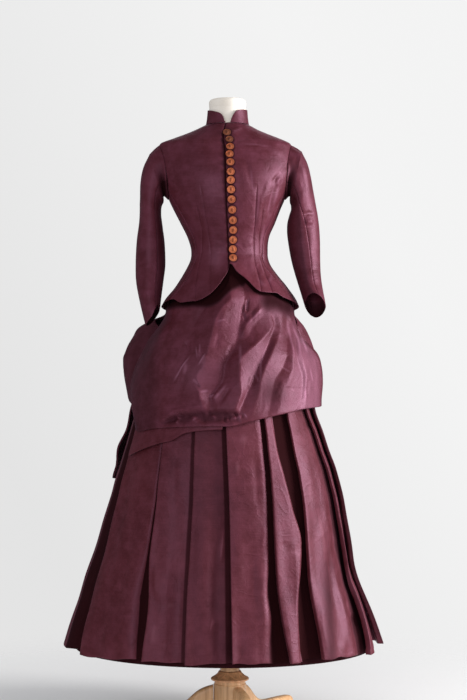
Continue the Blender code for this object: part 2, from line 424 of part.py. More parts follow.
# stand collar, its front ends curving down into the notch
COLLAR_FRONT = {-1: ((10.6, 1.4995), (14.0, 1.5102), (17.4, 1.5196), (23.8, 1.5264), (34.4, 1.5311), (90.0, 1.5400), (180.0, 1.5430)),
                1: ((1.0, 1.5001), (4.1, 1.5120), (9.2, 1.5211), (15.9, 1.5291), (22.9, 1.5344), (90.0, 1.5400), (180.0, 1.5430))}
for side, word in ((1, "left"), (-1, "right")):
    top_z = along(COLLAR_FRONT[side])
    first = COLLAR_FRONT[side][0][0] + 2.5
    steps = np.concatenate([np.array([0, 2.5, 6, 11, 18, 28]) + first, np.linspace(first + 42, 179.6, 8)])
    low = NECK_TOP_Z + 0.0012
    turn = side * np.repeat(steps[None, :], 4, axis=0)
    z = low + (np.maximum(top_z(steps), low + 0.006)[None, :] - low) * np.array([0, 0.35, 0.7, 1.0])[:, None]
    wall_panel("collar_" + word, COLLAR, turn, z, wall=COLLAR_WALL)

# ---------------------------------------------------------------- the sleeves
def armhole_ring(side, phi):
    """The armhole's edge; phi 0 at the shoulder, 90 at the front, 180 underneath."""
    z = ARMHOLE_Z + ARMHOLE_HALF_HEIGHT * np.cos(np.radians(phi))
    turn = 90.0 - ARMHOLE_HALF_TURN * np.sin(np.radians(phi))
    return ring_point(BODY, side * turn, z), ring_normal(BODY, side * turn, z)


def sleeve_station(side, row, phi, last):
    ox, oz, ix, iz, cy, hd = row[:6]
    outer, inner = np.array([side * ox, cy, oz]), np.array([side * ix, cy, iz])
    mid, half = (outer + inner) / 2, (outer - inner) / 2
    c, s = np.cos(np.radians(phi))[:, None], np.sin(np.radians(phi))[:, None]
    p = mid + half * c + np.array([0, -hd, 0]) * s
    if last:
        front, back = CUFF_CUT[side]
        p[:, 2] += np.where(s[:, 0] > 0, front, -back) * s[:, 0] * np.abs(s[:, 0]) ** 0.3
    return p


def sleeve_piece(name, side, table, from_turn, to_turn, steps):
    """One of a sleeve's two pieces, between its seams."""
    outer, inner = [], []
    stations = [None] + list(table)
    for k, row in enumerate(stations):
        seams = table[0] if row is None else row
        a, b = from_turn(seams), to_turn(seams)
        radius = 0.055
        gap = np.degrees(SEAM_GAP / radius) / 2
        phi = np.linspace(a + gap, b - gap, steps)
        if row is None:
            p, n = armhole_ring(side, phi)
            p = p + n * 0.0012
            p2, _ = armhole_ring(side, phi)
            mid = armhole_ring(side, np.array([0.0, 90.0, 180.0, 270.0]))[0].mean(0)
            q = p - (p2 - mid) / np.linalg.norm(p2 - mid, axis=1, keepdims=True) * CLOTH_WALL
            outer.append(p)
            inner.append(q)
            continue
        p = sleeve_station(side, row, phi, k == len(stations) - 1)
        mid = sleeve_station(side, row, np.array([0.0, 90.0, 180.0, 270.0]), False).mean(0)
        ahead = sleeve_station(side, row, phi + 0.5, False) - sleeve_station(side, row, phi - 0.5, False)
        nxt = table[min(k, len(table) - 1)]
        prev = table[max(k - 2, 0)]
        axis = (sleeve_station(side, nxt, phi, False) - sleeve_station(side, prev, phi, False))
        n = np.cross(ahead, axis)
        n /= np.linalg.norm(n, axis=1, keepdims=True)
        flip = np.sign(np.sum(n * (p - mid), axis=1, keepdims=True))
        outer.append(p)
        inner.append(p - n * flip * CLOTH_WALL)
    add_sheet(name, outer, inner)


for side, word, table in ((-1, "right", SLEEVE_LEFT), (1, "left", SLEEVE_RIGHT)):
    sleeve_piece("sleeve_upper_" + word, side, table, lambda r: r[7] - 360.0, lambda r: float(r[6]), 10)
    sleeve_piece("sleeve_under_" + word, side, table, lambda r: float(r[6]), lambda r: float(r[7]), 6)

# ---------------------------------------------------------------- the buttons
# columns: radius share, height above the cloth
BUTTON_PROFILE = ((0.30, 0.0012), (0.34, 0.0028), (0.97, 0.0034), (0.90, 0.0054), (0.50, 0.0072))
for k, (x, z) in enumerate(BUTTONS):
    turn = turn_at(BODY, x, z)
    p, n = ring_point(BODY, turn, z), ring_normal(BODY, turn, z)
    side_way = np.cross([0, 0, 1.0], n)
    side_way /= np.linalg.norm(side_way)
    up = np.cross(n, side_way)
    phi = np.radians(np.arange(9) * 40.0)
    rings = [[p + (side_way * math.cos(t) + up * math.sin(t)) * BUTTON_RADIUS * share * (0.94 if k == 0 else 1.0) + n * lift for t in phi]
             for share, lift in BUTTON_PROFILE]
    add_filled("button_%02d" % (k + 1), rings)

# ---------------------------------------------------------------- the skirts
pleat_height, pleat_underlap = along(PLEAT_HEIGHT), along(PLEAT_UNDERLAP)


def foundation_table():
    low = []
    for z in FLOUNCE[:-1, 0]:
        h = float(pleat_height(z)) + 0.0065
        row = [float(smooth(FLOUNCE[:, 0], FLOUNCE[:, k], z)) for k in range(1, 6)]
        low.append((z, row[0] - h, row[1] - h, row[2] - h, row[3] - h, row[4]))
    return np.array(low + [tuple(r) for r in FOUNDATION_UPPER[1:]])


FOUNDATION = foundation_table()
for name, a, b in (("foundation_front", -90.0, 90.0), ("foundation_back", 90.0, 270.0)):
    z = np.array([FOUNDATION_HEM_Z, 0.310, 0.400, 0.480, 0.600, 0.720, 0.850, 0.950, 1.030, 1.075, 1.105, 1.130, SKIRT_TOP_Z - 0.0120])
    gap = gap_turn(FOUNDATION, 90.0, z, SEAM_GAP / 2)[:, None]
    u = np.linspace(0, 1, 12)[None, :]
    turn = (a + gap) + (b - a - 2 * gap) * u
    z = np.repeat(z[:, None], turn.shape[1], axis=1)
    wall_panel(name, FOUNDATION, turn, z)
steps = np.arange(22) * 360.0 / 22
band_z = np.array([SKIRT_TOP_Z - 0.0112, SKIRT_TOP_Z + 0.004])[:, None] + 0 * steps[None, :]
band_turn = np.repeat(steps[None, :], 2, axis=0)
p, n = ring_point(FOUNDATION, band_turn, band_z), ring_normal(FOUNDATION, band_turn, band_z)
add_sheet("waistband", p + n * 0.0002, p - n * 0.0016, round_it=True)


def flounce_profile(z):
    """Points (turn, lift) of the whole pleated ring at this height, and which of them a width ends on."""
    edges = [float(along(t)(z)) for t in FRONT_PLEATS] + list(BACK_PLEAT_TURNS)
    edges.append(edges[0] + 360.0)
    h, lap = float(pleat_height(z)), float(pleat_underlap(z))
    points = []
    for k in range(len(edges) - 1):
        e, f = edges[k], edges[k + 1]
        u = float(gap_turn(FLOUNCE, e, z, lap))
        w = float(gap_turn(FLOUNCE, f, z, lap))
        points += [(e, 1.00), (e + u, 0.80), (e + 0.62 * (f - e), 0.34), (f - 0.02 * (f - e), 0.06), (f + w, 0.0), (f + w, 0.42), (f, 0.52)]
    return np.array(points), h


def flounce_ring(z):
    """Middle line of the pleated wall and its mitred normals, in the level plane."""
    points, h = flounce_profile(z)
    p = ring_point(FLOUNCE, points[:, 0], z)
    n = ring_normal(FLOUNCE, points[:, 0], z)
    n[:, 2] = 0
    n /= np.linalg.norm(n, axis=1, keepdims=True)
    p = p + n * (h * (points[:, 1:2] - 1.0))
    before, after = p - np.roll(p, 1, axis=0), np.roll(p, -1, axis=0) - p
    before /= np.linalg.norm(before, axis=1, keepdims=True)
    after /= np.linalg.norm(after, axis=1, keepdims=True)
    side_a = np.stack([before[:, 1], -before[:, 0], 0 * before[:, 0]], axis=1)
    side_b = np.stack([after[:, 1], -after[:, 0], 0 * after[:, 0]], axis=1)
    mitre = side_a + side_b
    mitre /= np.maximum(np.sum(mitre * side_a, axis=1, keepdims=True), 0.35)
    return p, mitre


PLEAT_POINTS, CUT_FRONT, CUT_BACK = 7, 7 * 8 + 2, 7 * 18 + 2
for name, first, last in (("flounce_front", CUT_BACK - 7 * 19, CUT_FRONT), ("flounce_back", CUT_FRONT, CUT_BACK)):
    outer, inner = [], []
    for z in FLOUNCE_ROWS:
        p, m = flounce_ring(z)
        count = len(p)
        index = [k % count for k in range(first, last + 1)]
        q, w = p[index].copy(), m[index].copy()
        for end, nxt in ((0, 1), (-1, -2)):
            d = q[nxt] - q[end]
            q[end] = q[end] + d / np.linalg.norm(d) * SEAM_GAP / 2
        outer.append(q + w * CLOTH_WALL / 2)
        inner.append(q - w * CLOTH_WALL / 2)
    add_sheet(name, outer, inner)

# ---------------------------------------------------------------- the overskirt
apron_hem, apron_left, apron_right = along(APRON_HEM), along(APRON_LEFT), along(APRON_RIGHT)


def apron_grid(rows, cols):
    v = (np.arange(rows) / (rows - 1.0))[:, None]
    u = np.linspace(0, 1, cols)[None, :]
    z = np.full((rows, cols), 0.9)
    for _ in range(8):
        turn = apron_left(z) + (apron_right(z) - apron_left(z)) * u
        low = apron_hem(turn)
        z = low + (SKIRT_TOP_Z - 0.002 - low) * v
    return turn, z


def apron_lift(turn, z):
    p = ring_point(APRON, turn, z)
    return fold_height(p[..., 0], p[..., 2], APRON_FOLDS) * np.clip((1.10 - z) / 0.06, 0, 1)


turn, z = apron_grid(19, 26)
wall_panel("apron_front", APRON, turn, z, apron_lift(turn, z))
BAND_INSET = 0.0065
band_low = along(BAND_BOTTOM)
u = np.linspace(-66.0, -4.0, 14)[None, :]
v = np.array([0, 0.33, 0.66, 1.0])[:, None]
low, high = band_low(u), apron_hem(u) + 0.012
band_z = low + (high - low) * v
wall_panel("apron_band", APRON, u + 0 * v, band_z, -BAND_INSET)


def back_drape(name, table, left, right, hem, top, rows, cols, folds):
    v = (np.arange(rows) / (rows - 1.0))[:, None]
    u = np.linspace(0, 1, cols)[None, :]
    z = np.full((rows, cols), 0.9)
    for _ in range(8):
        turn = right(z) + (left(z) - right(z)) * u
        z = hem(turn) + (top - hem(turn)) * v
    lift = sum(depth * np.exp(-((turn - place) / width) ** 2) * np.clip((z - low) / 0.05, 0, 1) * np.clip((high - z) / 0.05, 0, 1)
               for place, width, depth, low, high in folds)
    return wall_panel(name, table, turn, z, lift)


# columns: turn, half width in degrees, depth, low end, high end
POUF_FOLDS = ((118, 7, -0.007, 0.83, 1.03), (142, 8, -0.008, 0.83, 1.04), (166, 7, -0.009, 0.83, 1.04),
              (191, 8, -0.009, 0.83, 1.04), (215, 7, -0.008, 0.83, 1.04), (240, 8, -0.008, 0.83, 1.03), (268, 7, -0.005, 0.83, 1.01))
TAIL_FOLDS = ((122, 6, 0.006, 0.50, 0.80), (152, 7, 0.007, 0.50, 0.80), (186, 7, 0.007, 0.50, 0.80), (222, 6, 0.007, 0.50, 0.80), (254, 6, 0.006, 0.50, 0.80))
back_drape("back_pouf", POUF, along(POUF_LEFT), along(POUF_RIGHT), along(POUF_HEM), SKIRT_TOP_Z - 0.002, 12, 22, POUF_FOLDS)
back_drape("back_tail", TAIL, lambda z: 279.0 + 0 * z, lambda z: 104.0 + 0 * z, along(TAIL_HEM), 0.868, 8, 18, TAIL_FOLDS)

# ---------------------------------------------------------------- the form and the stand
around = np.arange(20) * 18.0
form_z = (0.980, 1.010, 1.055, 1.105, 1.145, 1.180, 1.215, 1.260, 1.320, 1.385, 1.415, 1.437, 1.4515, 1.4640, 1.4760, 1.4860, 1.4930, 1.5000, 1.5470)
add_filled("form_torso", [ring_point(FORM, around, np.full(20, z)) for z in form_z])
# columns: height, share of the neck's half widths
CAP_PROFILE = ((1.5478, 1.03), (1.5580, 1.045), (1.5640, 1.00), (1.5680, 0.86), (1.5700, 0.55))
neck = ring_point(FORM, np.arange(18) * 20.0, np.full(18, 1.5470))
middle = neck.mean(0)
add_filled("form_neck_cap", [(neck - middle) * [s, s, 0] + [middle[0], middle[1], z] for z, s in CAP_PROFILE])


def turned(name, profile, steps=16):
    """A turned piece: its profile, from axis to axis, spun once round the pole's axis."""
    line = [(0.0, profile[0][1])] + list(profile) + [(0.0, profile[-1][1])]
    bm = bmesh.new()
    verts = [bm.verts.new((r, 0.0, z)) for r, z in line]
    edges = [bm.edges.new(pair) for pair in zip(verts, verts[1:])]
    bmesh.ops.spin(bm, geom=verts + edges, cent=(0, 0, 0), axis=(0, 0, 1), angle=math.tau, steps=steps, use_merge=True)
    bmesh.ops.remove_doubles(bm, verts=bm.verts, dist=1e-6)
    bmesh.ops.triangulate(bm, faces=bm.faces)
    return add_bmesh(name, bm)


# columns: radius, height
turned("stand_pole", ((0.0245, 0.1405), (0.0245, 0.9790)), 16)
turned("stand_cone", ((0.0470, 0.1180), (0.0475, 0.1215), (0.0420, 0.1255), (0.0345, 0.1310), (0.0290, 0.1365), (0.0275, 0.1400)))
turned("stand_hub", ((0.0330, 0.0560), (0.0400, 0.0620), (0.0405, 0.1080), (0.0385, 0.1140), (0.0385, 0.1175)))
# columns: distance from the axis, height of the leg's middle, half height across it
LEG_SWEEP = ((0.0412, 0.0820, 0.0235), (0.0660, 0.0710, 0.0240), (0.0920, 0.0510, 0.0220), (0.1200, 0.0350, 0.0185), (0.1500, 0.0265, 0.0160),
             (0.1850, 0.0220, 0.0145), (0.2250, 0.0200, 0.0135), (0.2600, 0.0180, 0.0120))
LEG_TURNS, LEG_HALF_WIDTH = (30.0, 150.0, 270.0), 0.0130


def add_leg(name, turn):
    way = np.array([math.sin(math.radians(turn)), -math.cos(math.radians(turn)), 0.0])
    across = np.array([-way[1], way[0], 0.0])
    centre = np.array([[r, z] for r, z, _ in LEG_SWEEP])
    tangent = np.gradient(centre, axis=0)
    tangent /= np.linalg.norm(tangent, axis=1, keepdims=True)
    rings = []
    for (r, z, half), (tr, tz) in zip(LEG_SWEEP, tangent):
        if r == LEG_SWEEP[0][0]:
            tr, tz = 1.0, 0.0
        up = np.array([-tz, tr])
        ring = []
        for w, s in ((1, -0.72), (1, 0.72), (0.72, 1), (-0.72, 1), (-1, 0.72), (-1, -0.72), (-0.72, -1), (0.72, -1)):
            q = np.array([r, z]) + up * half * s
            ring.append(way * q[0] + across * LEG_HALF_WIDTH * w + np.array([0, 0, q[1]]))
        rings.append(ring)
    # the foot: a block with a level underside
    foot = []
    for r, top in ((0.2850, 0.0290), (0.3000, 0.0270), (0.3080, 0.0210)):
        ring = []
        for w, s in ((1, -0.72), (1, 0.72), (0.72, 1), (-0.72, 1), (-1, 0.72), (-1, -0.72), (-0.72, -1), (0.72, -1)):
            level = top * (s + 1) / 2 if s > 0 else (0.0 if s == -1 else 0.0035)
            ring.append(way * r + across * LEG_HALF_WIDTH * w + np.array([0, 0, level]))
        foot.append(ring)
    last = []
    for w, s in ((1, -0.72), (1, 0.72), (0.72, 1), (-0.72, 1), (-1, 0.72), (-1, -0.72), (-0.72, -1), (0.72, -1)):
        level = 0.0300 * (s + 1) / 2 if s > 0 else (0.0 if s == -1 else 0.0035)
        last.append(way * 0.2600 + across * LEG_HALF_WIDTH * w + np.array([0, 0, level]))
    rings = rings[:-1] + [last] + foot
    add_filled(name, rings)


for k, turn in enumerate(LEG_TURNS):
    add_leg("stand_leg_%d" % (k + 1), turn)

# ---------------------------------------------------------------- the whole is centred over the origin
corners = np.array([v.co[:] for part in frame.children for v in part.data.vertices])
low, high = corners.min(0), corners.max(0)
frame.location = (-(low[0] + high[0]) / 2, -(low[1] + high[1]) / 2, -low[2])
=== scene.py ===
"""Bustle dress on a dress form: a fitted buttoned basque, a draped apron overskirt with back drapery and a
knife-pleated skirt in crisp plum silk taffeta, on a limbless form with a wooden tripod stand."""
import math
import bpy
import numpy as np
from bpy.props import FloatProperty, FloatVectorProperty, PointerProperty
from mathutils import Matrix, Vector


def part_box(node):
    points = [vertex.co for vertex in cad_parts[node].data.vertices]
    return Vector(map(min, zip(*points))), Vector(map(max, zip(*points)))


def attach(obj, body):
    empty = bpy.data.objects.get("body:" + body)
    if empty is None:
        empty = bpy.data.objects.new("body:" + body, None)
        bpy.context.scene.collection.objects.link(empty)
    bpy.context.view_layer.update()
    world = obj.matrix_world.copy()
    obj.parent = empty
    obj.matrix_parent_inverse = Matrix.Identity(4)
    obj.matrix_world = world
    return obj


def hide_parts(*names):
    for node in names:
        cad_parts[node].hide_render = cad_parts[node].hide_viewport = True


bl_info = {"name": "Bustle Dress", "version": (1, 0, 0), "blender": (4, 5, 0),
           "location": "3D View > Sidebar > Bustle Dress",
           "description": "Models a bustle dress on its dress form, piece by piece", "category": "Object"}

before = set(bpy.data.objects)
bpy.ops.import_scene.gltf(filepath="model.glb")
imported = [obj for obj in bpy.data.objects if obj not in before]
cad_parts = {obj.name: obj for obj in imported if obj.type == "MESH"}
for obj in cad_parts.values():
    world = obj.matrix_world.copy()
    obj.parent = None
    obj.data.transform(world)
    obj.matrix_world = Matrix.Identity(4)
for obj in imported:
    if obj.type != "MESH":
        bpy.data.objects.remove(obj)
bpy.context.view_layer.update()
pole_low, pole_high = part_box("stand_pole")
# the pole's axis carries all the pieces
AXIS = np.array([(pole_low[0] + pole_high[0]) / 2, (pole_low[1] + pole_high[1]) / 2, 0.0])

# ------------------------------------------------------------------ the cut
# named sizes and outlines, as in the CAD source
SEAM_GAP, UNDER_LAP = 0.00050, 0.0023
LAP_TURN = 9.0   # degrees that the under front reaches past the closing edge
NECK_TOP_Z, WAIST_Z, SKIRT_TOP_Z = 1.5042, 1.1800, 1.1600
OVERSKIRT_TOP_Z = SKIRT_TOP_Z - 0.002
ARMHOLE_Z, ARMHOLE_HALF_HEIGHT, ARMHOLE_HALF_TURN = 1.3850, 0.0680, 28.0
UNDERARM_TOP_Z, BACK_SEAM_TOP_Z = 1.333, 1.404   # where the seams run into the armhole
FLOUNCE_TOP_Z, FLOUNCE_HEM_Z = 0.8450, 0.2050
FORM_NECK_Z = 1.5470
APRON_ARC, BACK_ARC = 0.0040, -0.0049   # metres along the cloth for a degree of turn

# columns: height, turn of the pleat's edge; one table for each front pleat, edges named from -X to +X
FRONT_PLEATS = (
    ((0.190, -59.5), (0.265, -62.5), (0.385, -64.5), (0.500, -66.0), (0.850, -72.0)),
    ((0.190, -29.2), (0.357, -31.2), (0.440, -34.2), (0.540, -35.3), (0.718, -39.0), (0.850, -41.0)),
    ((0.190, -14.2), (0.320, -15.4), (0.445, -16.3), (0.587, -17.2), (0.743, -19.5), (0.850, -20.5)),
    ((0.190, 1.0), (0.345, 0.7), (0.600, -0.3), (0.756, -2.0), (0.850, -3.0)),
    ((0.190, 22.0), (0.307, 21.2), (0.514, 21.1), (0.776, 22.2), (0.850, 22.6)),
    ((0.190, 35.3), (0.307, 36.8), (0.487, 38.3), (0.700, 38.6), (0.850, 40.5)),
    ((0.190, 62.5), (0.299, 67.5), (0.391, 69.5), (0.473, 67.5), (0.608, 64.4), (0.760, 61.5), (0.850, 57.0)),
    ((0.190, 90.0), (0.391, 87.0), (0.571, 80.0), (0.686, 75.0), (0.850, 73.5)),
)
BACK_PLEAT_TURNS = (106.0, 123.0, 140.0, 156.0, 172.0, 188.0, 204.0, 220.0, 237.0, 254.0, 272.0)
PLEAT_HEIGHT = ((0.190, 0.0300), (0.309, 0.0250), (0.450, 0.0200), (0.620, 0.0150), (0.850, 0.0105))
PLEAT_UNDERLAP = ((0.190, 0.0380), (0.450, 0.0300), (0.850, 0.0220))   # arc length under the next edge

# columns: turn, height of a hem; height, turn of an upright edge or a seam
APRON_HEM = ((-78.0, 0.792), (-73.6, 0.790), (-60.0, 0.743), (-45.3, 0.7516), (-33.4, 0.7559), (-14.7, 0.7593),
             (-1.4, 0.7596), (11.1, 0.7703), (20.9, 0.7788), (29.1, 0.7849), (37.2, 0.7899), (51.1, 0.7981),
             (76.6, 0.8006), (90.0, 0.8010))
APRON_LEFT = ((0.740, -60.0), (0.765, -66.5), (0.792, -74.0), (0.829, -84.0), (0.860, -88.0), (0.985, -88.0),
              (1.030, -78.5), (1.170, -78.5))
APRON_RIGHT = ((0.740, 98.0), (0.900, 98.0), (0.945, 96.0), (0.975, 92.5), (1.030, 78.5), (1.170, 78.5))
# columns: x, height; the top of the crushed hollow over the hem, and where the shade under the basque's point ends
APRON_LIP = ((-0.184, 0.756), (-0.135, 0.791), (-0.094, 0.799), (-0.054, 0.804), (0.026, 0.798), (0.045, 0.786))
APRON_NOTCH = ((-0.170, 1.036), (-0.100, 1.040), (-0.060, 1.040), (-0.030, 1.047), (0.000, 1.075), (0.020, 1.088),
               (0.041, 1.101), (0.052, 1.200))
# columns: turn, height of a hem; height, turn of an upright edge
BAND_BOTTOM = ((-65.5, 0.682), (-54.5, 0.6987), (-40.3, 0.7177), (-32.0, 0.7265), (-25.1, 0.7434), (-20.9, 0.7473),
               (-3.0, 0.7540))
POUF_LEFT = ((0.790, 294.0), (0.815, 297.0), (0.845, 300.0), (0.880, 305.0), (0.915, 310.0), (0.995, 311.0),
             (1.030, 279.5), (1.170, 279.5))
POUF_RIGHT = ((0.790, 79.0), (0.850, 74.0), (0.880, 67.0), (0.915, 62.0), (0.995, 61.0), (1.030, 80.5), (1.170, 80.5))
POUF_HEM = ((58.0, 0.812), (90.0, 0.806), (140.0, 0.812), (180.0, 0.800), (220.0, 0.812), (270.0, 0.804),
            (302.0, 0.815))
TAIL_HEM = ((62.0, 0.655), (90.0, 0.640), (120.0, 0.600), (150.0, 0.566), (180.0, 0.556), (210.0, 0.570),
            (240.0, 0.602), (268.0, 0.614), (298.0, 0.640))

BODICE_HEM = ((-90.0, 1.047), (-57.6, 1.0650), (-45.0, 1.0564), (-35.5, 1.0584), (-26.6, 1.0612), (-16.3, 1.0798),
              (-8.7, 1.1067), (-2.2, 1.1340), (0.0, 1.1500), (1.3, 1.1500), (9.0, 1.1290), (17.6, 1.1101),
              (25.0, 1.0864), (33.3, 1.0803), (44.5, 1.0792), (51.0, 1.0702), (64.6, 1.0618), (90.0, 1.0480),
              (112.0, 1.0400), (150.0, 1.0340), (180.0, 1.0320))
FRONT_EDGE = ((1.045, -0.4), (1.1565, -0.4), (1.2105, -1.8), (1.2821, -2.6), (1.4298, -3.3), (1.4887, -7.6),
              (1.505, -9.0))
UNDERARM_SEAM = ((1.045, 61.0), (1.180, 60.0), (1.250, 62.0), (1.300, 66.5), (1.333, 72.5))
SIDE_SEAM = ((1.040, 111.0), (1.180, 112.0), (1.300, 109.0), (1.333, 107.5))
BACK_SEAM = ((1.030, 149.0), (1.180, 156.0), (1.250, 151.0), (1.320, 141.0), (1.370, 128.0), (1.398, 118.5),
             (1.405, 117.5))

# columns: outer x, outer z, inner x, inner z, depth of the middle, half depth, turn of the front and of the back seam
SLEEVE_MINUS_X = (
    (0.2005, 1.4300, 0.1650, 1.3110, 0.000, 0.0560, 112, 258),
    (0.2160, 1.3980, 0.1690, 1.3050, 0.002, 0.0560, 116, 258),
    (0.2235, 1.3600, 0.1715, 1.2960, 0.004, 0.0550, 119, 258),
    (0.2250, 1.3150, 0.1720, 1.2820, 0.006, 0.0530, 121, 258),
    (0.2270, 1.2650, 0.1690, 1.2550, 0.009, 0.0495, 122, 258),
    (0.2335, 1.2150, 0.1635, 1.2100, 0.012, 0.0470, 122, 258),
    (0.2362, 1.1600, 0.1615, 1.1590, 0.010, 0.0445, 122, 258),
    (0.2345, 1.1150, 0.1655, 1.1160, -0.005, 0.0410, 122, 258),
    (0.2260, 1.0700, 0.1700, 1.0760, -0.022, 0.0370, 121, 258),
    (0.2095, 1.0020, 0.1735, 1.0390, -0.040, 0.0330, 120, 258))
SLEEVE_PLUS_X = (
    (0.1790, 1.4370, 0.1490, 1.3110, 0.000, 0.0550, 116, 258),
    (0.1935, 1.4080, 0.1520, 1.3040, 0.002, 0.0550, 114, 258),
    (0.2020, 1.3760, 0.1530, 1.2940, 0.004, 0.0540, 110, 258),
    (0.2080, 1.3430, 0.1490, 1.2800, 0.006, 0.0530, 102, 258),
    (0.2165, 1.2980, 0.1440, 1.2600, 0.009, 0.0500, 90, 258), (0.2230, 1.2560, 0.1430, 1.2400, 0.011, 0.0490, 82, 258),
    (0.2260, 1.2060, 0.1470, 1.2040, 0.012, 0.0465, 76, 258), (0.2262, 1.1600, 0.1550, 1.1600, 0.006, 0.0435, 73, 258),
    (0.2285, 1.1130, 0.1670, 1.1150, -0.010, 0.0400, 72, 258),
    (0.2388, 1.0470, 0.1840, 1.0580, -0.036, 0.0340, 72, 258))
# columns: rise of the front edge, rise of the back edge, added to the last station's heights; below 0 it drops
CUFF_CUT = {-1: (0.005, -0.008), 1: (0.030, -0.030)}

# columns: x, height of each button's middle
BUTTONS = ((-0.0072, 1.4756), (-0.0013, 1.4569), (0.0004, 1.4376), (-0.0008, 1.4187), (0.0012, 1.3979),
           (0.0020, 1.3740), (0.0022, 1.3540), (0.0029, 1.3310), (0.0041, 1.3082), (0.0056, 1.2835), (0.0071, 1.2586),
           (0.0078, 1.2353), (0.0075, 1.2115), (0.0070, 1.1880), (0.0075, 1.1652))

# columns: height, half width on -X, half width on +X, front depth, back depth, depth at which it is widest
BODY = np.array([
    (1.010, 0.1750, 0.1740, 0.1550, 0.2960, 0.030), (1.020, 0.1720, 0.1720, 0.1520, 0.2860, 0.030),
    (1.045, 0.1670, 0.1680, 0.1460, 0.2560, 0.020), (1.070, 0.1575, 0.1615, 0.1375, 0.2280, 0.010),
    (1.100, 0.1355, 0.1425, 0.1255, 0.1920, 0.000), (1.125, 0.1195, 0.1220, 0.1130, 0.1500, 0.000),
    (1.150, 0.1055, 0.1035, 0.1015, 0.1120, 0.000), (1.165, 0.0988, 0.0968, 0.0952, 0.0960, 0.000),
    (1.180, 0.0965, 0.0945, 0.0900, 0.0870, 0.000), (1.195, 0.0975, 0.0945, 0.0905, 0.0850, 0.000),
    (1.225, 0.1070, 0.0985, 0.0970, 0.0900, 0.000), (1.256, 0.1225, 0.1120, 0.1070, 0.0970, 0.000),
    (1.294, 0.1420, 0.1270, 0.1190, 0.1040, 0.000), (1.325, 0.1570, 0.1410, 0.1260, 0.1080, 0.000),
    (1.355, 0.1710, 0.1540, 0.1260, 0.1100, 0.000), (1.385, 0.1790, 0.1610, 0.1200, 0.1100, 0.000),
    (1.415, 0.1810, 0.1600, 0.1080, 0.1060, 0.000), (1.440, 0.1790, 0.1560, 0.0950, 0.0960, 0.000),
    (1.4565, 0.1740, 0.1510, 0.0830, 0.0840, 0.000), (1.468, 0.1450, 0.1270, 0.0740, 0.0740, 0.000),
    (1.480, 0.1120, 0.0960, 0.0660, 0.0660, 0.000), (1.490, 0.0880, 0.0720, 0.0600, 0.0600, 0.000),
    (1.4965, 0.0740, 0.0595, 0.0560, 0.0570, 0.000), (1.505, 0.0600, 0.0470, 0.0520, 0.0530, 0.000),
    (1.540, 0.0555, 0.0435, 0.0490, 0.0500, 0.000)])
COLLAR = np.array([
    (1.500, 0.0610, 0.0485, 0.0560, 0.0560, 0.000), (1.515, 0.0580, 0.0460, 0.0535, 0.0530, 0.000),
    (1.550, 0.0550, 0.0430, 0.0500, 0.0510, 0.000)])
FORM = np.array([
    (0.980, 0.1000, 0.1000, 0.0900, 0.0800, 0.000), (1.000, 0.1080, 0.1080, 0.0970, 0.0890, 0.000),
    (1.050, 0.1120, 0.1120, 0.1020, 0.0960, 0.000), (1.100, 0.1060, 0.1060, 0.0970, 0.0910, 0.000),
    (1.140, 0.0935, 0.0920, 0.0865, 0.0830, 0.000), (1.165, 0.0880, 0.0860, 0.0810, 0.0770, 0.000),
    (1.180, 0.0870, 0.0850, 0.0795, 0.0760, 0.000), (1.195, 0.0890, 0.0860, 0.0815, 0.0765, 0.000),
    (1.225, 0.1000, 0.0915, 0.0900, 0.0830, 0.000), (1.256, 0.1165, 0.1060, 0.1010, 0.0910, 0.000),
    (1.294, 0.1365, 0.1215, 0.1130, 0.0985, 0.000), (1.325, 0.1515, 0.1355, 0.1200, 0.1025, 0.000),
    (1.355, 0.1655, 0.1485, 0.1200, 0.1045, 0.000), (1.385, 0.1735, 0.1555, 0.1140, 0.1045, 0.000),
    (1.415, 0.1750, 0.1530, 0.1020, 0.1000, 0.000), (1.437, 0.1720, 0.1450, 0.0890, 0.0900, 0.000),
    (1.4500, 0.1640, 0.1340, 0.0780, 0.0790, 0.000), (1.4615, 0.1400, 0.1130, 0.0690, 0.0690, 0.000),
    (1.4735, 0.1070, 0.0870, 0.0610, 0.0610, 0.000), (1.4835, 0.0830, 0.0660, 0.0550, 0.0550, 0.000),
    (1.490, 0.0690, 0.0545, 0.0510, 0.0520, 0.000), (1.498, 0.0560, 0.0430, 0.0480, 0.0490, 0.000),
    (1.5475, 0.0515, 0.0395, 0.0455, 0.0465, 0.000)])
FLOUNCE = np.array([
    (0.850, 0.2265, 0.2140, 0.1890, 0.3000, 0.030), (0.790, 0.2365, 0.2195, 0.1970, 0.3080, 0.030),
    (0.740, 0.2500, 0.2380, 0.2050, 0.3180, 0.030), (0.690, 0.2650, 0.2545, 0.2130, 0.3280, 0.035),
    (0.650, 0.2770, 0.2695, 0.2190, 0.3360, 0.035), (0.620, 0.2870, 0.2775, 0.2230, 0.3420, 0.035),
    (0.579, 0.2980, 0.2875, 0.2290, 0.3500, 0.040), (0.519, 0.3170, 0.2960, 0.2370, 0.3620, 0.040),
    (0.450, 0.3380, 0.3060, 0.2460, 0.3760, 0.045), (0.374, 0.3660, 0.3225, 0.2565, 0.3940, 0.050),
    (0.309, 0.3850, 0.3475, 0.2670, 0.4100, 0.050), (0.249, 0.4070, 0.3725, 0.2770, 0.4260, 0.055),
    (0.190, 0.4270, 0.3950, 0.2870, 0.4430, 0.060)])[::-1]
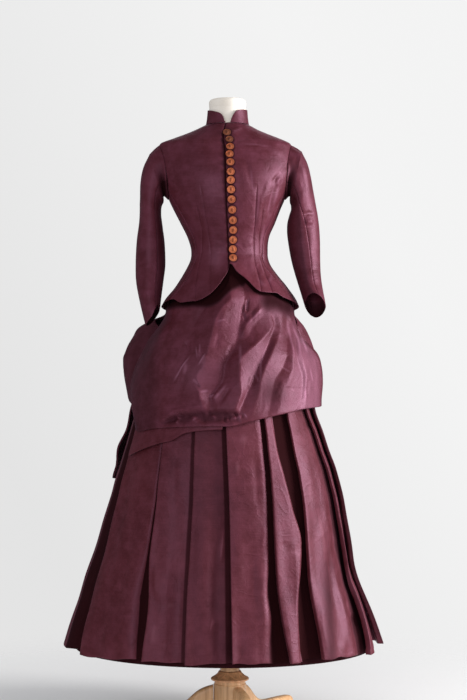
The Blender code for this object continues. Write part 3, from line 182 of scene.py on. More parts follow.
FOUNDATION_UPPER = np.array([
    (0.855, 0.2120, 0.2000, 0.1740, 0.2850, 0.030), (0.900, 0.2050, 0.1940, 0.1590, 0.2760, 0.030),
    (0.950, 0.1880, 0.1780, 0.1470, 0.2620, 0.030), (1.000, 0.1640, 0.1560, 0.1350, 0.2420, 0.030),
    (1.045, 0.1480, 0.1490, 0.1250, 0.2220, 0.020), (1.070, 0.1390, 0.1420, 0.1190, 0.2030, 0.010),
    (1.100, 0.1230, 0.1280, 0.1100, 0.1680, 0.000), (1.125, 0.1090, 0.1110, 0.1010, 0.1270, 0.000),
    (1.150, 0.0965, 0.0945, 0.0905, 0.0930, 0.000), (1.168, 0.0915, 0.0895, 0.0850, 0.0815, 0.000)])
APRON = np.array([
    (1.168, 0.0950, 0.0930, 0.0895, 0.0865, 0.000), (1.150, 0.1010, 0.0990, 0.0950, 0.1030, 0.000),
    (1.125, 0.1145, 0.1170, 0.1080, 0.1400, 0.000), (1.100, 0.1300, 0.1370, 0.1200, 0.1820, 0.000),
    (1.070, 0.1520, 0.1560, 0.1320, 0.2180, 0.010), (1.045, 0.1610, 0.1620, 0.1400, 0.2400, 0.020),
    (1.020, 0.1690, 0.1660, 0.1480, 0.2575, 0.030), (1.0015, 0.1790, 0.1690, 0.1540, 0.2680, 0.030),
    (0.9715, 0.1990, 0.1810, 0.1630, 0.2850, 0.030), (0.9515, 0.2100, 0.1990, 0.1690, 0.2940, 0.030),
    (0.929, 0.2210, 0.2180, 0.1760, 0.3020, 0.030), (0.8965, 0.2360, 0.2275, 0.1850, 0.3120, 0.030),
    (0.864, 0.2460, 0.2300, 0.1940, 0.3200, 0.030), (0.829, 0.2500, 0.2300, 0.2030, 0.3280, 0.030),
    (0.7915, 0.2530, 0.2330, 0.2110, 0.3370, 0.030), (0.740, 0.2640, 0.2500, 0.2190, 0.3450, 0.030),
    (0.690, 0.2790, 0.2650, 0.2260, 0.3520, 0.035), (0.640, 0.2920, 0.2830, 0.2330, 0.3600, 0.035)])[::-1]
POUF = np.array([
    (1.168, 0.0950, 0.0930, 0.0885, 0.0865, 0.000), (1.150, 0.1010, 0.0990, 0.0965, 0.1030, 0.000),
    (1.125, 0.1145, 0.1170, 0.1080, 0.1400, 0.000), (1.100, 0.1300, 0.1370, 0.1200, 0.1820, 0.000),
    (1.070, 0.1520, 0.1560, 0.1300, 0.2180, 0.010), (1.045, 0.1600, 0.1615, 0.1150, 0.2400, 0.020),
    (1.030, 0.1650, 0.1630, 0.1000, 0.2500, 0.035), (1.018, 0.1960, 0.1740, 0.0800, 0.2690, 0.060),
    (1.000, 0.2320, 0.1900, 0.0340, 0.3030, 0.100), (0.975, 0.2490, 0.2040, 0.0270, 0.3290, 0.110),
    (0.945, 0.2650, 0.2150, 0.0270, 0.3430, 0.110), (0.915, 0.2740, 0.2250, 0.0330, 0.3480, 0.110),
    (0.880, 0.2720, 0.2270, 0.0600, 0.3440, 0.110), (0.845, 0.2660, 0.2270, 0.1150, 0.3360, 0.110),
    (0.815, 0.2600, 0.2270, 0.2000, 0.3300, 0.110), (0.800, 0.2580, 0.2265, 0.2500, 0.3270, 0.110)])[::-1]
TAIL = np.array([
    (0.870, 0.2440, 0.2120, 0.0000, 0.3080, 0.100), (0.820, 0.2480, 0.2145, 0.0000, 0.3130, 0.100),
    (0.790, 0.2560, 0.2200, 0.0000, 0.3190, 0.100), (0.740, 0.2660, 0.2380, 0.0000, 0.3310, 0.100),
    (0.690, 0.2890, 0.2540, 0.0000, 0.3430, 0.100), (0.650, 0.2920, 0.2680, 0.0000, 0.3510, 0.100),
    (0.620, 0.3010, 0.2780, 0.0000, 0.3570, 0.100), (0.540, 0.3250, 0.2950, 0.0000, 0.3720, 0.100)])[::-1]


def smooth(xs, ys, x):
    """Monotone cubic through the points (xs, ys); xs rises."""
    xs, ys, x = np.asarray(xs, float), np.asarray(ys, float), np.asarray(x, float)
    h, d = np.diff(xs), np.diff(ys) / np.diff(xs)
    m = np.concatenate([[d[0]], (d[:-1] + d[1:]) / 2, [d[-1]]])
    flat = np.concatenate([[False], d[:-1] * d[1:] <= 0, [False]])
    m[flat] = 0.0
    for k in range(len(d)):
        top = 3.0 * abs(d[k])
        m[k], m[k + 1] = np.clip(m[k], -top, top), np.clip(m[k + 1], -top, top)
    x = np.clip(x, xs[0], xs[-1])
    k = np.clip(np.searchsorted(xs, x, side="right") - 1, 0, len(h) - 1)
    t = (x - xs[k]) / h[k]
    return ((2 * t**3 - 3 * t**2 + 1) * ys[k] + (t**3 - 2 * t**2 + t) * h[k] * m[k]
            + (-2 * t**3 + 3 * t**2) * ys[k + 1] + (t**3 - t**2) * h[k] * m[k + 1])


def ring_point(table, turn, z):
    """Point of the ring surface; turn in degrees from the front (-Y), positive towards +X."""
    turn, z = np.broadcast_arrays(np.asarray(turn, float), np.asarray(z, float))
    s, c = np.sin(np.radians(turn)), np.cos(np.radians(turn))
    left, right, front, back, mid = (smooth(table[:, 0], table[:, k], z) for k in range(1, 6))
    x = np.where(s < 0, left, right) * s
    y = mid - np.where(c > 0, front + mid, back - mid) * c
    return np.stack([x, y, z], axis=-1)


def ring_normal(table, turn, z):
    a = ring_point(table, turn + 0.05, z) - ring_point(table, turn - 0.05, z)
    b = ring_point(table, turn, z + 2e-4) - ring_point(table, turn, z - 2e-4)
    n = np.cross(a, b)
    return n / np.maximum(np.linalg.norm(n, axis=-1, keepdims=True), 1e-12)


def surface(table, turn, z):
    return ring_point(table, turn, z), ring_normal(table, turn, z)


def turn_at(table, x, z):
    """Turn on the front half at which the ring has this x."""
    x, z = np.broadcast_arrays(np.asarray(x, float), np.asarray(z, float))
    half = np.where(x < 0, smooth(table[:, 0], table[:, 1], z), smooth(table[:, 0], table[:, 2], z))
    return np.degrees(np.arcsin(np.clip(x / half, -0.999, 0.999)))


def along(table):
    xs, ys = np.array(table, float).T
    return lambda x: smooth(xs, ys, x)


def gap_turn(table, turn, z, gap):
    """Degrees that equal a length of gap along the ring."""
    p, q = ring_point(table, turn - 0.5, z), ring_point(table, turn + 0.5, z)
    return gap / np.maximum(np.linalg.norm(q - p, axis=-1), 1e-6)


# ------------------------------------------------------------------ the lines of the folds and of the glints
# A fold is (its line from top to bottom, depth, half width on its -X side, half width on its +X side[, share that it
# fades over at top, at bottom]), in mm. A glint is a painted highlight along a crease: (its line, strength, half
# width).
# The apron's big folds: crest and valley lines from -X to +X, the silk flat between them.
# Each line's rows: height, x, rise (mm).
APRON_LINES = (
    ((1110, -150, 0), (900, -230, 0), (780, -240, 0)),
    ((1110, -60, 0), (1009, -112, 2), (941, -140, 3), (874, -150, 2), (780, -160, 0)),
    ((1110, -30, -2), (1043, -62, -5), (1009, -84, -6), (941, -104, -5), (874, -122, -5), (820, -120, -3),
     (780, -110, 0)),
    ((1110, 0, 1), (1067, 3, 8), (1043, -16, 12), (1009, -33, 14), (975, -41, 14), (941, -50, 14), (907, -56, 13),
     (874, -77, 13), (840, -73, 10), (806, -63, 4), (780, -58, 0)),
    ((1110, 36, -3), (1067, 38, -7), (1043, 33, -9), (1009, 26, -11), (975, 20, -11), (941, 8, -11), (907, -12, -11),
     (874, -16, -11), (840, -42, -9), (806, -48, -5), (780, -46, -1)),
    ((1110, 84, 0), (1067, 92, 0), (1009, 104, 1), (995, 101, 2), (966, 75, 6), (943, 49, 9), (920, 26, 10),
     (907, 23, 10), (874, 23, 10), (840, 27, 9), (806, 17, 6), (780, 7, 1)),
    ((1110, 110, 0), (1067, 112, 0), (1009, 110, -1), (975, 102, -6), (941, 91, -9), (907, 76, -10), (874, 61, -10),
     (840, 43, -9), (806, 28, -6), (780, 20, -1)),
    ((1110, 124, 1), (1067, 127, 2), (1009, 124, 3), (975, 118, 3), (941, 103, 3), (907, 87, 4), (874, 75, 3),
     (840, 70, 1), (806, 60, 0), (780, 52, 0)),
    ((1110, 136, 0), (1009, 140, -1), (941, 141, -3), (907, 135, -6), (874, 113, -6), (840, 104, -5), (806, 98, -4),
     (780, 90, -1)),
    ((1110, 146, 1), (1009, 149, 2), (941, 152, 3), (907, 152, 3), (874, 142, 4), (840, 126, 4), (806, 118, 3),
     (780, 112, 1)),
    ((1110, 156, 0), (1009, 160, 0), (941, 163, -1), (907, 169, -2), (874, 178, -2), (806, 172, -1), (780, 168, 0)),
    ((1110, 160, 0), (1009, 166, 2), (941, 170, 3), (907, 178, 4), (874, 184, 4), (806, 181, 3), (780, 178, 1)),
    ((1110, 175, 0), (1009, 190, -1), (941, 208, -3), (907, 212, -4), (874, 211, -3), (780, 208, 0)),
    ((1110, 180, 0), (1009, 200, 1), (907, 222, 1), (780, 224, 0)))
APRON_GLINTS = (
    (((-94, 930), (-117, 900), (-138, 862)), 0.65, 2.2), (((-54, 932), (-74, 900)), 0.6, 1.8),
    (((-81, 952), (-75, 918)), 0.5, 1.4), (((-71, 958), (-69, 926)), 0.35, 1.4), (((-104, 912), (-110, 880)), 0.3, 3.0),
    (((-50, 846), (-72, 838)), 0.5, 2.4), (((-36, 838), (-52, 830)), 0.5, 2.0), (((-6, 862), (-40, 822)), 0.45, 2.6),
    (((-86, 872), (-72, 856)), 0.5, 1.6), (((84, 1046), (40, 1000)), 0.4, 1.8), (((46, 1072), (44, 1036)), 0.35, 1.2),
    (((100, 972), (78, 915), (70, 850)), 0.4, 1.6), (((26, 962), (24, 900)), 0.3, 2.4),
    (((138, 1028), (150, 960), (162, 900)), 0.35, 1.8), (((150, 1016), (168, 968), (172, 905)), 0.4, 2.2),
    (((176, 985), (192, 930)), 0.5, 3.0),
    (((146, 848), (158, 842)), 0.3, 1.4), (((126, 906), (146, 886)), 0.3, 1.6), (((182, 852), (180, 812)), 0.45, 1.8),
    (((34, 792), (42, 780)), 0.45, 1.4), (((196, 900), (206, 860)), 0.4, 2.0), (((-8, 1014), (-30, 1006)), 0.3, 1.6),
    (((64, 888), (70, 862)), 0.35, 1.4))
APRON_FOLDS = (
    # short creases under the front point and between the big folds
    (((35, 1057), (28, 1022)), -3.5, 2, 3), (((45, 1070), (43, 1033)), -4.0, 2, 3),
    (((33, 1036), (42, 1009)), -3.0, 2, 3), (((84, 1054), (42, 1006), (26, 968)), 5.0, 5, 10, 0.25, 0.3),
    (((-27, 844), (-44, 824)), 4.0, 4, 6), (((3, 854), (-27, 811)), -4.0, 4, 3),
    (((-14, 871), (-48, 831)), -4.0, 3, 2), (((60, 1040), (52, 1012)), -2.2, 3, 4),
    (((-8, 1040), (-22, 990)), 1.6, 5, 8),
    (((141, 1031), (159, 1000)), 2.2, 2, 3), (((98, 1040), (120, 990)), -2.2, 4, 5),
    (((150, 1040), (172, 985), (190, 930)), 2.6, 4, 9), (((190, 872), (188, 822)), -2.0, 3, 4),
    (((8, 960), (-8, 930)), -1.8, 3, 4),
    (((128, 872), (112, 830)), 2.0, 3, 6), (((54, 880), (44, 850)), 1.8, 3, 5), (((-24, 984), (-36, 940)), -1.6, 3, 6),
    # the smooth left side, with its few short creases
    (((-165, 921), (-157, 894)), -2.6, 3, 5), (((-110, 965), (-96, 934)), -2.8, 3, 5),
    (((-150, 1020), (-188, 930), (-206, 850)), 2.6, 14, 18), (((-80, 948), (-73, 918)), 5.5, 2, 6),
    (((-95, 928), (-116, 900), (-132, 853)), 5.5, 3, 9), (((-55, 931), (-73, 901)), 4.5, 2, 6),
    (((-85, 872), (-69, 847)), -4.5, 3, 2), (((-71, 844), (-69, 814)), 3.6, 2, 9),
    (((-104, 880), (-120, 842)), -2.4, 5, 6), (((-128, 1000), (-142, 960)), -2.0, 6, 7),
    # the lip over the crushed hollow, and the stitched hem
    (((-184, 760), (-135, 795), (-94, 804), (-54, 809)), 3.4, 4, 4, 0.2, 0.2),
    (((124, 849), (226, 846)), -0.7, 2, 2, 0.02, 0.02),
)
APRON_SIDE_FOLDS = (   # the same, with the way round the back in place of x, past the sides
    (((-330, 1010), (-352, 900), (-360, 790)), 3.5, 12, 16), (((-385, 980), (-395, 860)), -3.5, 10, 9),
    (((330, 1000), (352, 900), (360, 800)), 4.0, 8, 14),
    (((362, 990), (385, 880), (392, 805)), -4.0, 8, 8), (((300, 960), (318, 880), (322, 805)), 3.0, 7, 12))
# the skirt's own folds, over its pleats
SKIRT_FOLDS = (
    (((-156, 717), (-81, 724), (-7, 715)), -2.2, 4, 4), (((-156, 738), (-86, 727)), -1.6, 4, 4),
    (((148, 742), (178, 752), (204, 762)), -1.8, 5, 5),
    (((14, 673), (19, 632)), 2.2, 4, 8), (((86, 528), (73, 461)), 2.0, 4, 6), (((-15, 498), (-23, 432)), 2.6, 4, 9),
    (((-30, 315), (-48, 265)), 2.4, 4, 8), (((58, 441), (45, 396)), -1.8, 5, 5),
    (((-185, 365), (-163, 336), (-148, 334)), -2.0, 4, 4), (((-194, 233), (-152, 231)), -1.6, 3, 3),
    (((-180, 430), (-174, 365), (-160, 341)), 3.0, 6, 12), (((-307, 355), (-228, 364)), -1.6, 4, 4),
    (((-239, 350), (-201, 349)), 2.0, 4, 4), (((118, 490), (150, 458), (182, 476)), -2.4, 4, 5),
    (((150, 613), (168, 529)), -2.2, 7, 5), (((132, 500), (160, 440)), 2.0, 4, 7),
    (((233, 560), (221, 483), (231, 404), (229, 278), (244, 227)), 3.6, 9, 20, 0.2, 0.05),
    (((252, 479), (271, 403)), -2.6, 5, 5), (((298, 437), (304, 326)), -2.4, 6, 5),
    (((270, 362), (285, 295), (277, 222)), 3.4, 7, 14, 0.2, 0.05),
    (((291, 294), (325, 258)), -2.0, 4, 4), (((237, 434), (250, 376)), -2.6, 5, 6),
    (((248, 420), (254, 330), (262, 225)), -3.4, 8, 7, 0.3, 0.05), (((300, 300), (312, 240)), -2.6, 7, 6),
    (((190, 715), (183, 642), (210, 600)), 2.4, 8, 16), (((-133, 465), (-106, 461)), -1.4, 4, 4),
    (((-49, 616), (-2, 627)), -1.4, 5, 5),
    (((-60, 620), (-66, 400), (-70, 215)), 3.0, 22, 30, 0.3, 0.02),
    (((30, 560), (34, 400), (38, 215)), -2.4, 14, 16, 0.3, 0.02), (((-120, 690), (-118, 560)), 2.0, 8, 12),
    (((-215, 600), (-240, 430), (-262, 230)), 3.5, 16, 22, 0.3, 0.02),
    (((-290, 420), (-306, 340), (-318, 230)), 3.0, 8, 14, 0.3, 0.05), (((62, 690), (66, 560)), -2.0, 10, 8),
    (((300, 420), (322, 300), (340, 215)), 3.0, 12, 16, 0.3, 0.02))
SKIRT_GLINTS = (
    (((-16, 520), (-18, 480), (-21, 436)), 0.6, 2.0), (((86, 478), (87, 380), (84, 250)), 0.45, 2.4),
    (((78, 445), (76, 400)), 0.3, 1.6), (((-36, 322), (-48, 274)), 0.5, 2.2), (((36, 748), (28, 700)), 0.45, 2.6),
    (((18, 682), (17, 630)), 0.5, 1.8),
    (((60, 442), (46, 398)), 0.4, 1.6), (((212, 556), (222, 500), (228, 420)), 0.5, 2.6),
    (((251, 492), (262, 452), (268, 410)), 0.45, 1.8), (((290, 392), (298, 350)), 0.5, 1.8),
    (((282, 330), (290, 300)), 0.4, 2.6), (((292, 300), (318, 262)), 0.45, 1.6),
    (((-174, 470), (-172, 420), (-170, 350)), 0.3, 3.0), (((-178, 300), (-182, 240)), 0.35, 4.0),
    (((120, 716), (124, 640)), 0.3, 3.0), (((150, 470), (172, 478)), 0.5, 1.6), (((140, 462), (168, 452)), 0.4, 1.6),
    (((150, 440), (176, 462)), 0.35, 1.4),
    (((232, 470), (240, 400), (246, 330)), 0.35, 2.0), (((-150, 336), (-128, 334)), 0.35, 1.6),
    (((-163, 246), (-148, 242)), 0.35, 1.6), (((196, 760), (214, 700)), 0.3, 3.0),
    (((186, 640), (200, 560)), 0.35, 3.4))
BODICE_FRONT_FOLDS = (
    # drag lines from the armhole on +X down to the waist
    (((123, 1346), (109, 1289), (88, 1240)), 1.8, 4, 6), (((113, 1348), (99, 1305), (86, 1268)), -1.6, 4, 4),
    (((97, 1362), (84, 1320), (70, 1282)), 1.4, 4, 6),
    (((38, 1412), (49, 1357), (60, 1325)), -1.3, 5, 6), (((148, 1412), (124, 1376), (100, 1343)), -1.8, 5, 5),
    (((120, 1372), (112, 1358), (100, 1352)), -1.6, 4, 4),
    (((126, 1368), (117, 1357), (116, 1340)), 1.8, 3, 4), (((104, 1300), (92, 1260), (84, 1222)), -1.4, 4, 5),
    (((76, 1330), (72, 1270), (70, 1225)), 1.2, 4, 5),
    # across the +X shoulder and beside the collar
    (((6, 1482), (42, 1470), (88, 1446)), -1.4, 5, 5), (((18, 1430), (64, 1429), (110, 1433)), -0.9, 3, 3),
    (((10, 1457), (50, 1462)), -1.2, 4, 4),
    (((2, 1476), (30, 1492)), 1.6, 5, 5), (((96, 1446), (132, 1420)), 1.2, 7, 7),
    # between waist and peplum on +X
    (((74, 1190), (88, 1153), (99, 1130)), -2.2, 3, 4), (((88, 1136), (95, 1103), (101, 1082)), -1.8, 4, 4),
    (((72, 1150), (80, 1118), (86, 1092)), 1.8, 4, 5),
    (((30, 1196), (58, 1208)), 1.5, 5, 5), (((60, 1190), (50, 1160), (58, 1128)), 1.2, 5, 7),
    (((104, 1126), (118, 1100)), 1.5, 5, 6),
    # the -X front: short level wrinkles beside the buttons, and the blister at the waist
    (((-46, 1352), (-17, 1353)), -0.7, 3, 3), (((-50, 1318), (-9, 1320)), -0.6, 3, 3),
    (((-46, 1282), (-9, 1281)), -0.8, 3, 3), (((-50, 1246), (-9, 1242)), -0.7, 3, 3),
    (((-54, 1212), (-10, 1211)), -1.1, 3, 3), (((-52, 1224), (-14, 1226)), 0.7, 4, 4),
    (((-36, 1192), (-28, 1172), (-34, 1148)), 1.8, 9, 10), (((-10, 1196), (-44, 1186)), -1.0, 4, 4),
    (((-158, 1380), (-150, 1349), (-134, 1310)), -1.4, 6, 6), (((-168, 1448), (-150, 1396)), -1.2, 7, 7),
    (((-124, 1104), (-121, 1060)), -0.9, 5, 5),
    (((-98, 1120), (-92, 1066)), 1.2, 10, 10))
BODICE_BACK_FOLDS = (   # x as seen from the front
    (((-120, 1440), (-60, 1452)), -1.0, 5, 5), (((40, 1450), (112, 1438)), -1.1, 5, 5),
    (((-140, 1370), (-100, 1330), (-80, 1270)), -1.3, 6, 6), (((136, 1372), (104, 1334), (84, 1275)), -1.2, 6, 6),
    (((-60, 1205), (-14, 1200)), -1.0, 4, 4), (((16, 1210), (62, 1204)), -0.9, 4, 4),
    (((-30, 1222), (20, 1225)), 0.7, 4, 4), (((-60, 1150), (-72, 1080), (-78, 1040)), 2.0, 8, 12),
    (((62, 1148), (74, 1080), (80, 1040)), 2.0, 12, 8), (((20, 1140), (26, 1060)), 1.6, 8, 9),
    (((-22, 1140), (-28, 1058)), 1.4, 9, 8))
BODICE_GLINTS = (
    (((124, 1362), (116, 1330), (104, 1290)), 0.35, 2.0), (((112, 1358), (100, 1310), (92, 1262)), 0.35, 1.8),
    (((104, 1364), (94, 1330)), 0.3, 1.8), (((72, 1362), (70, 1300), (64, 1240)), 0.3, 1.6),
    (((50, 1390), (56, 1340), (60, 1310)), 0.25, 1.8),
    (((80, 1190), (92, 1160), (96, 1130)), 0.4, 1.8), (((70, 1182), (78, 1150), (84, 1120)), 0.35, 1.8),
    (((16, 1448), (60, 1446), (110, 1440)), 0.28, 1.4), (((4, 1476), (34, 1490)), 0.3, 1.8),
    (((120, 1382), (130, 1372)), 0.4, 1.6),
    (((88, 1260), (80, 1220), (78, 1190)), 0.3, 2.2), (((108, 1138), (96, 1104)), 0.35, 2.6),
    (((64, 1120), (84, 1096)), 0.25, 2.6))
SLEEVE_FOLDS = {   # along the sleeve as seen from the front: x, height
    1: ((((180, 1274), (196, 1281), (212, 1280)), -3.4, 4, 4), (((184, 1256), (208, 1264)), 2.6, 5, 5),
        (((188, 1246), (210, 1250)), -2.2, 3, 4), (((203, 1141), (224, 1143)), -1.2, 3, 3),
        (((200, 1184), (224, 1185)), -1.0, 3, 3), (((157, 1392), (168, 1312), (182, 1240)), 2.2, 6, 10),
        (((160, 1424), (170, 1375)), -1.6, 5, 6), (((176, 1420), (190, 1370), (200, 1320)), 1.6, 7, 9),
        (((150, 1330), (166, 1300), (172, 1270)), -1.6, 5, 5), (((192, 1225), (199, 1170), (206, 1100)), 1.2, 3, 6),
        (((160, 1230), (178, 1222)), -1.2, 4, 4), (((210, 1110), (226, 1096)), -0.9, 4, 4)),
    -1: ((((-208, 1412), (-214, 1340), (-215, 1270)), 1.4, 12, 12), (((-180, 1400), (-186, 1340)), -1.3, 6, 7),
         (((-226, 1242), (-196, 1236)), -0.9, 4, 5), (((-176, 1232), (-200, 1224)), -1.1, 4, 4),
         (((-222, 1160), (-196, 1158)), -0.7, 4, 4), (((-200, 1190), (-206, 1120), (-200, 1060)), 1.3, 9, 10),
         (((-212, 1100), (-190, 1094)), -0.8, 4, 4))}
# the back drapery; the way round from the middle of the back in place of x, positive towards +X as seen from behind
POUF_FOLDS = (
    (((-20, 1160), (-24, 1060), (-40, 960), (-46, 870)), 9.0, 14, 22, 0.1, 0.2),
    (((36, 1160), (44, 1050), (56, 950), (52, 850)), 8.0, 12, 26, 0.1, 0.2),
    (((90, 1160), (112, 1050), (138, 960), (150, 880)), 9.5, 13, 28, 0.1, 0.25),
    (((-80, 1160), (-104, 1050), (-126, 950), (-130, 850)), 9.0, 22, 13, 0.1, 0.2),
    (((150, 1160), (190, 1050), (222, 960), (236, 880)), 8.0, 12, 24, 0.1, 0.3),
    (((-140, 1160), (-178, 1060), (-214, 960), (-230, 860)), 8.5, 26, 13, 0.1, 0.25),
    (((8, 1150), (6, 1050), (4, 980), (12, 900)), -7.0, 10, 12, 0.1, 0.3),
    (((64, 1150), (80, 1040), (98, 960), (100, 900)), -7.5, 11, 12, 0.1, 0.3),
    (((-52, 1150), (-66, 1050), (-84, 950), (-88, 880)), -7.0, 12, 11, 0.1, 0.3),
    (((-110, 1150), (-142, 1050), (-172, 950), (-178, 880)), -7.0, 12, 11, 0.1, 0.3),
    (((122, 1150), (152, 1050), (182, 950), (194, 890)), -7.0, 10, 12, 0.1, 0.3),
    (((-270, 1030), (-290, 960), (-300, 880)), 6.0, 16, 12), (((272, 1020), (290, 950), (300, 880)), 6.0, 10, 16),
    (((-330, 1000), (-350, 930), (-352, 850)), 5.0, 14, 12), (((330, 1000), (350, 930), (352, 850)), 4.5, 12, 14),
    (((-250, 1010), (-262, 930), (-262, 850)), -6.0, 10, 10),
    (((248, 1010), (262, 930), (266, 850)), -5.5, 10, 10),
    (((-200, 905), (-90, 868), (20, 862), (130, 880)), 5.0, 10, 16, 0.3, 0.3),
    (((-260, 850), (-130, 836), (10, 832), (170, 842)), -4.0, 12, 8, 0.3, 0.3),
    (((-10, 935), (70, 905), (180, 902)), -4.0, 9, 9), (((-150, 950), (-70, 915), (-10, 915)), 4.0, 10, 8))
TAIL_FOLDS = (
    (((-30, 860), (-36, 720), (-44, 560)), 9.0, 12, 30, 0.1, 0.02),
    (((60, 860), (74, 720), (84, 560)), 8.0, 11, 28, 0.1, 0.02),
    (((150, 860), (176, 730), (196, 590)), 8.5, 12, 28, 0.1, 0.02),
    (((-120, 860), (-142, 720), (-158, 580)), 8.5, 28, 12, 0.1, 0.02),
    (((-215, 860), (-246, 740), (-268, 610)), 8.0, 26, 12, 0.1, 0.02),
    (((18, 850), (16, 720), (18, 560)), -7.0, 12, 12, 0.1, 0.02),
    (((112, 850), (128, 720), (140, 570)), -7.0, 12, 13, 0.1, 0.02),
    (((-76, 850), (-88, 720), (-100, 570)), -7.0, 13, 12, 0.1, 0.02),
    (((-168, 850), (-192, 730), (-210, 590)), -6.5, 13, 12, 0.1, 0.02),
    (((232, 860), (262, 740), (286, 620)), 7.0, 12, 24, 0.1, 0.02),
    (((-300, 850), (-330, 740), (-350, 640)), 6.0, 22, 12, 0.1, 0.02),
    (((204, 850), (226, 730), (246, 610)), -6.0, 12, 12, 0.1, 0.02))


def ease(t):
    t = np.clip(t, 0, 1)
    return t * t * (3 - 2 * t)


def glints(px, pz, table):
    """How strongly a highlight is painted along short crease edges, from 0 to 1."""
    return np.clip(folds(px, pz, [(line, strength * 1000, wide, wide, 0.35, 0.35) for line, strength, wide in table]),
                   0, 1)


def folds(px, pz, table):
    """Height in metres that the folds of a table add at (px, pz): ridges above 0, troughs below."""
    total = np.zeros(np.shape(px))
    for line, depth, left, right, *fade in table:
        line = np.asarray(line, float) / 1000
        step = np.diff(line, axis=0)
        span = np.linalg.norm(step, axis=1)
        start = np.concatenate([[0.0], np.cumsum(span)])
        best, share, side = np.full(total.shape, 1e9), np.zeros(total.shape), np.zeros(total.shape)
        for k in range(len(span)):
            d = step[k] / span[k]
            rx, rz = px - line[k, 0], pz - line[k, 1]
            t = np.clip(rx * d[0] + rz * d[1], 0, span[k])
            r = np.hypot(rx - t * d[0], rz - t * d[1])
            near = r < best
            best, share = np.where(near, r, best), np.where(near, (start[k] + t) / start[-1], share)
            side = np.where(near, d[0] * rz - d[1] * rx, side)
        width = np.where(side < 0, left, right) / 1000
        top, bottom = fade or (0.3, 0.3)
        tip = np.minimum(0.0016, width * 0.3)
        fall = 1 - (np.hypot(best, tip) - tip) / (width * 1.5)
        rise = depth / 1000 * (fall + np.sqrt(fall * fall + 0.012)) / 2 * (fall > -0.6)
        total += rise * ease(share / max(top, 1e-6)) * ease((1 - share) / max(bottom, 1e-6))
    return total


def relief(px, pz, lines):
    """Height of silk stretched flat between crest and valley lines, each given as rows of (height, x, rise) in mm."""
    xs, zs = np.arange(-290.0, 291.0), np.arange(1180.0, 720.0, -2.0)
    at = [[smooth([row[0] for row in line[::-1]], [row[k] for row in line[::-1]], zs) for line in lines]
          for k in (1, 2)]
    where, rise = np.maximum.accumulate(np.array(at[0]) + np.arange(len(lines))[:, None] * 0.01, 0), np.array(at[1])
    field = np.array([np.interp(xs, np.concatenate([where[:, k], [280.0]]), np.concatenate([rise[:, k], [0.0]]))
                      for k in range(len(zs))])
    for _ in range(3):
        field[:, 1:-1] = (field[:, :-2] + 2 * field[:, 1:-1] + field[:, 2:]) / 4
        field[1:-1] = (field[:-2] + 2 * field[1:-1] + field[2:]) / 4
    i, j = np.clip((px * 1000 + 290), 0, len(xs) - 1.001), np.clip((1180 - pz * 1000) / 2, 0, len(zs) - 1.001)
    a, b = i.astype(int), j.astype(int)
    u, v = i - a, j - b
    upper = field[b, a] * (1 - u) + field[b, a + 1] * u
    lower = field[b + 1, a] * (1 - u) + field[b + 1, a + 1] * u
    return (upper * (1 - v) + lower * v) / 1000


def bell(value, at, wide):
    return np.exp(-((value - at) / wide) ** 2)


def patch(px, pz, x, z, wide, tall):
    """A soft patch round (x, z): 1 in its middle, falling off over its width and height."""
    return np.exp(-((px - x) / wide) ** 2 - ((pz - z) / tall) ** 2)


def crinkles(px, pz, seed, count, box, length, depth, lean, wander=25.0):
    """Small sharp creases of crisp silk, scattered over box (x, z, x, z in mm); lean is their usual direction in
    degrees."""
    rng, total = np.random.default_rng(seed), np.zeros(np.shape(px))
    for _ in range(count):
        cx, cz = rng.uniform(box[0], box[2]) / 1000, rng.uniform(box[1], box[3]) / 1000
        a, half = math.radians(lean + wander * rng.normal()), length / 1000 * rng.uniform(0.35, 1.0) / 2
        t = ((px - cx) * math.cos(a) + (pz - cz) * math.sin(a)) / half
        s = (pz - cz) * math.cos(a) - (px - cx) * math.sin(a) + rng.normal() * 0.18 * half * t * t
        rise = depth / 1000 * rng.uniform(0.3, 1.0) * rng.choice((-1, 1))
        total += rise * np.exp(-np.abs(s) / rng.uniform(0.002, 0.005)) * np.clip(1 - t * t, 0, 1) ** 1.5
    return total


def spread(count, edge=0.05):
    """Shares from 0 to 1, closer together at both ends, where a seam turns in."""
    return np.concatenate([[0, edge * 0.2, edge * 0.5], np.linspace(edge, 1 - edge, count - 6),
        [1 - edge * 0.5, 1 - edge * 0.2, 1]])


def lengths(points, axis):
    """Running length along the rows (axis 1) or down the columns (axis 0) of a grid."""
    step = np.linalg.norm(np.diff(points, axis=axis), axis=-1)
    return np.concatenate([np.zeros_like(np.take(step, [0], axis=axis)), np.cumsum(step, axis=axis)], axis=axis)


def raised(points, normal, lift):
    return points + normal * lift[..., None]


def turned_in(points, sides="lrtb", depth=0.0011, reach=0.0018):
    """How far each point sinks where the cloth is turned in along its seams or hems."""
    u, v = lengths(points, 1), lengths(points, 0)
    drop = np.zeros(points.shape[:2])
    for which, d in (("l", u), ("r", u[:, -1:] - u), ("b", v), ("t", v[-1:, :] - v)):
        if which in sides:
            drop += depth * np.exp(-d / reach)
    return drop


# ------------------------------------------------------------------ making pieces
def link_piece(piece, nodes):
    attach(piece, "root")
    if nodes:
        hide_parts(*nodes)
    return piece


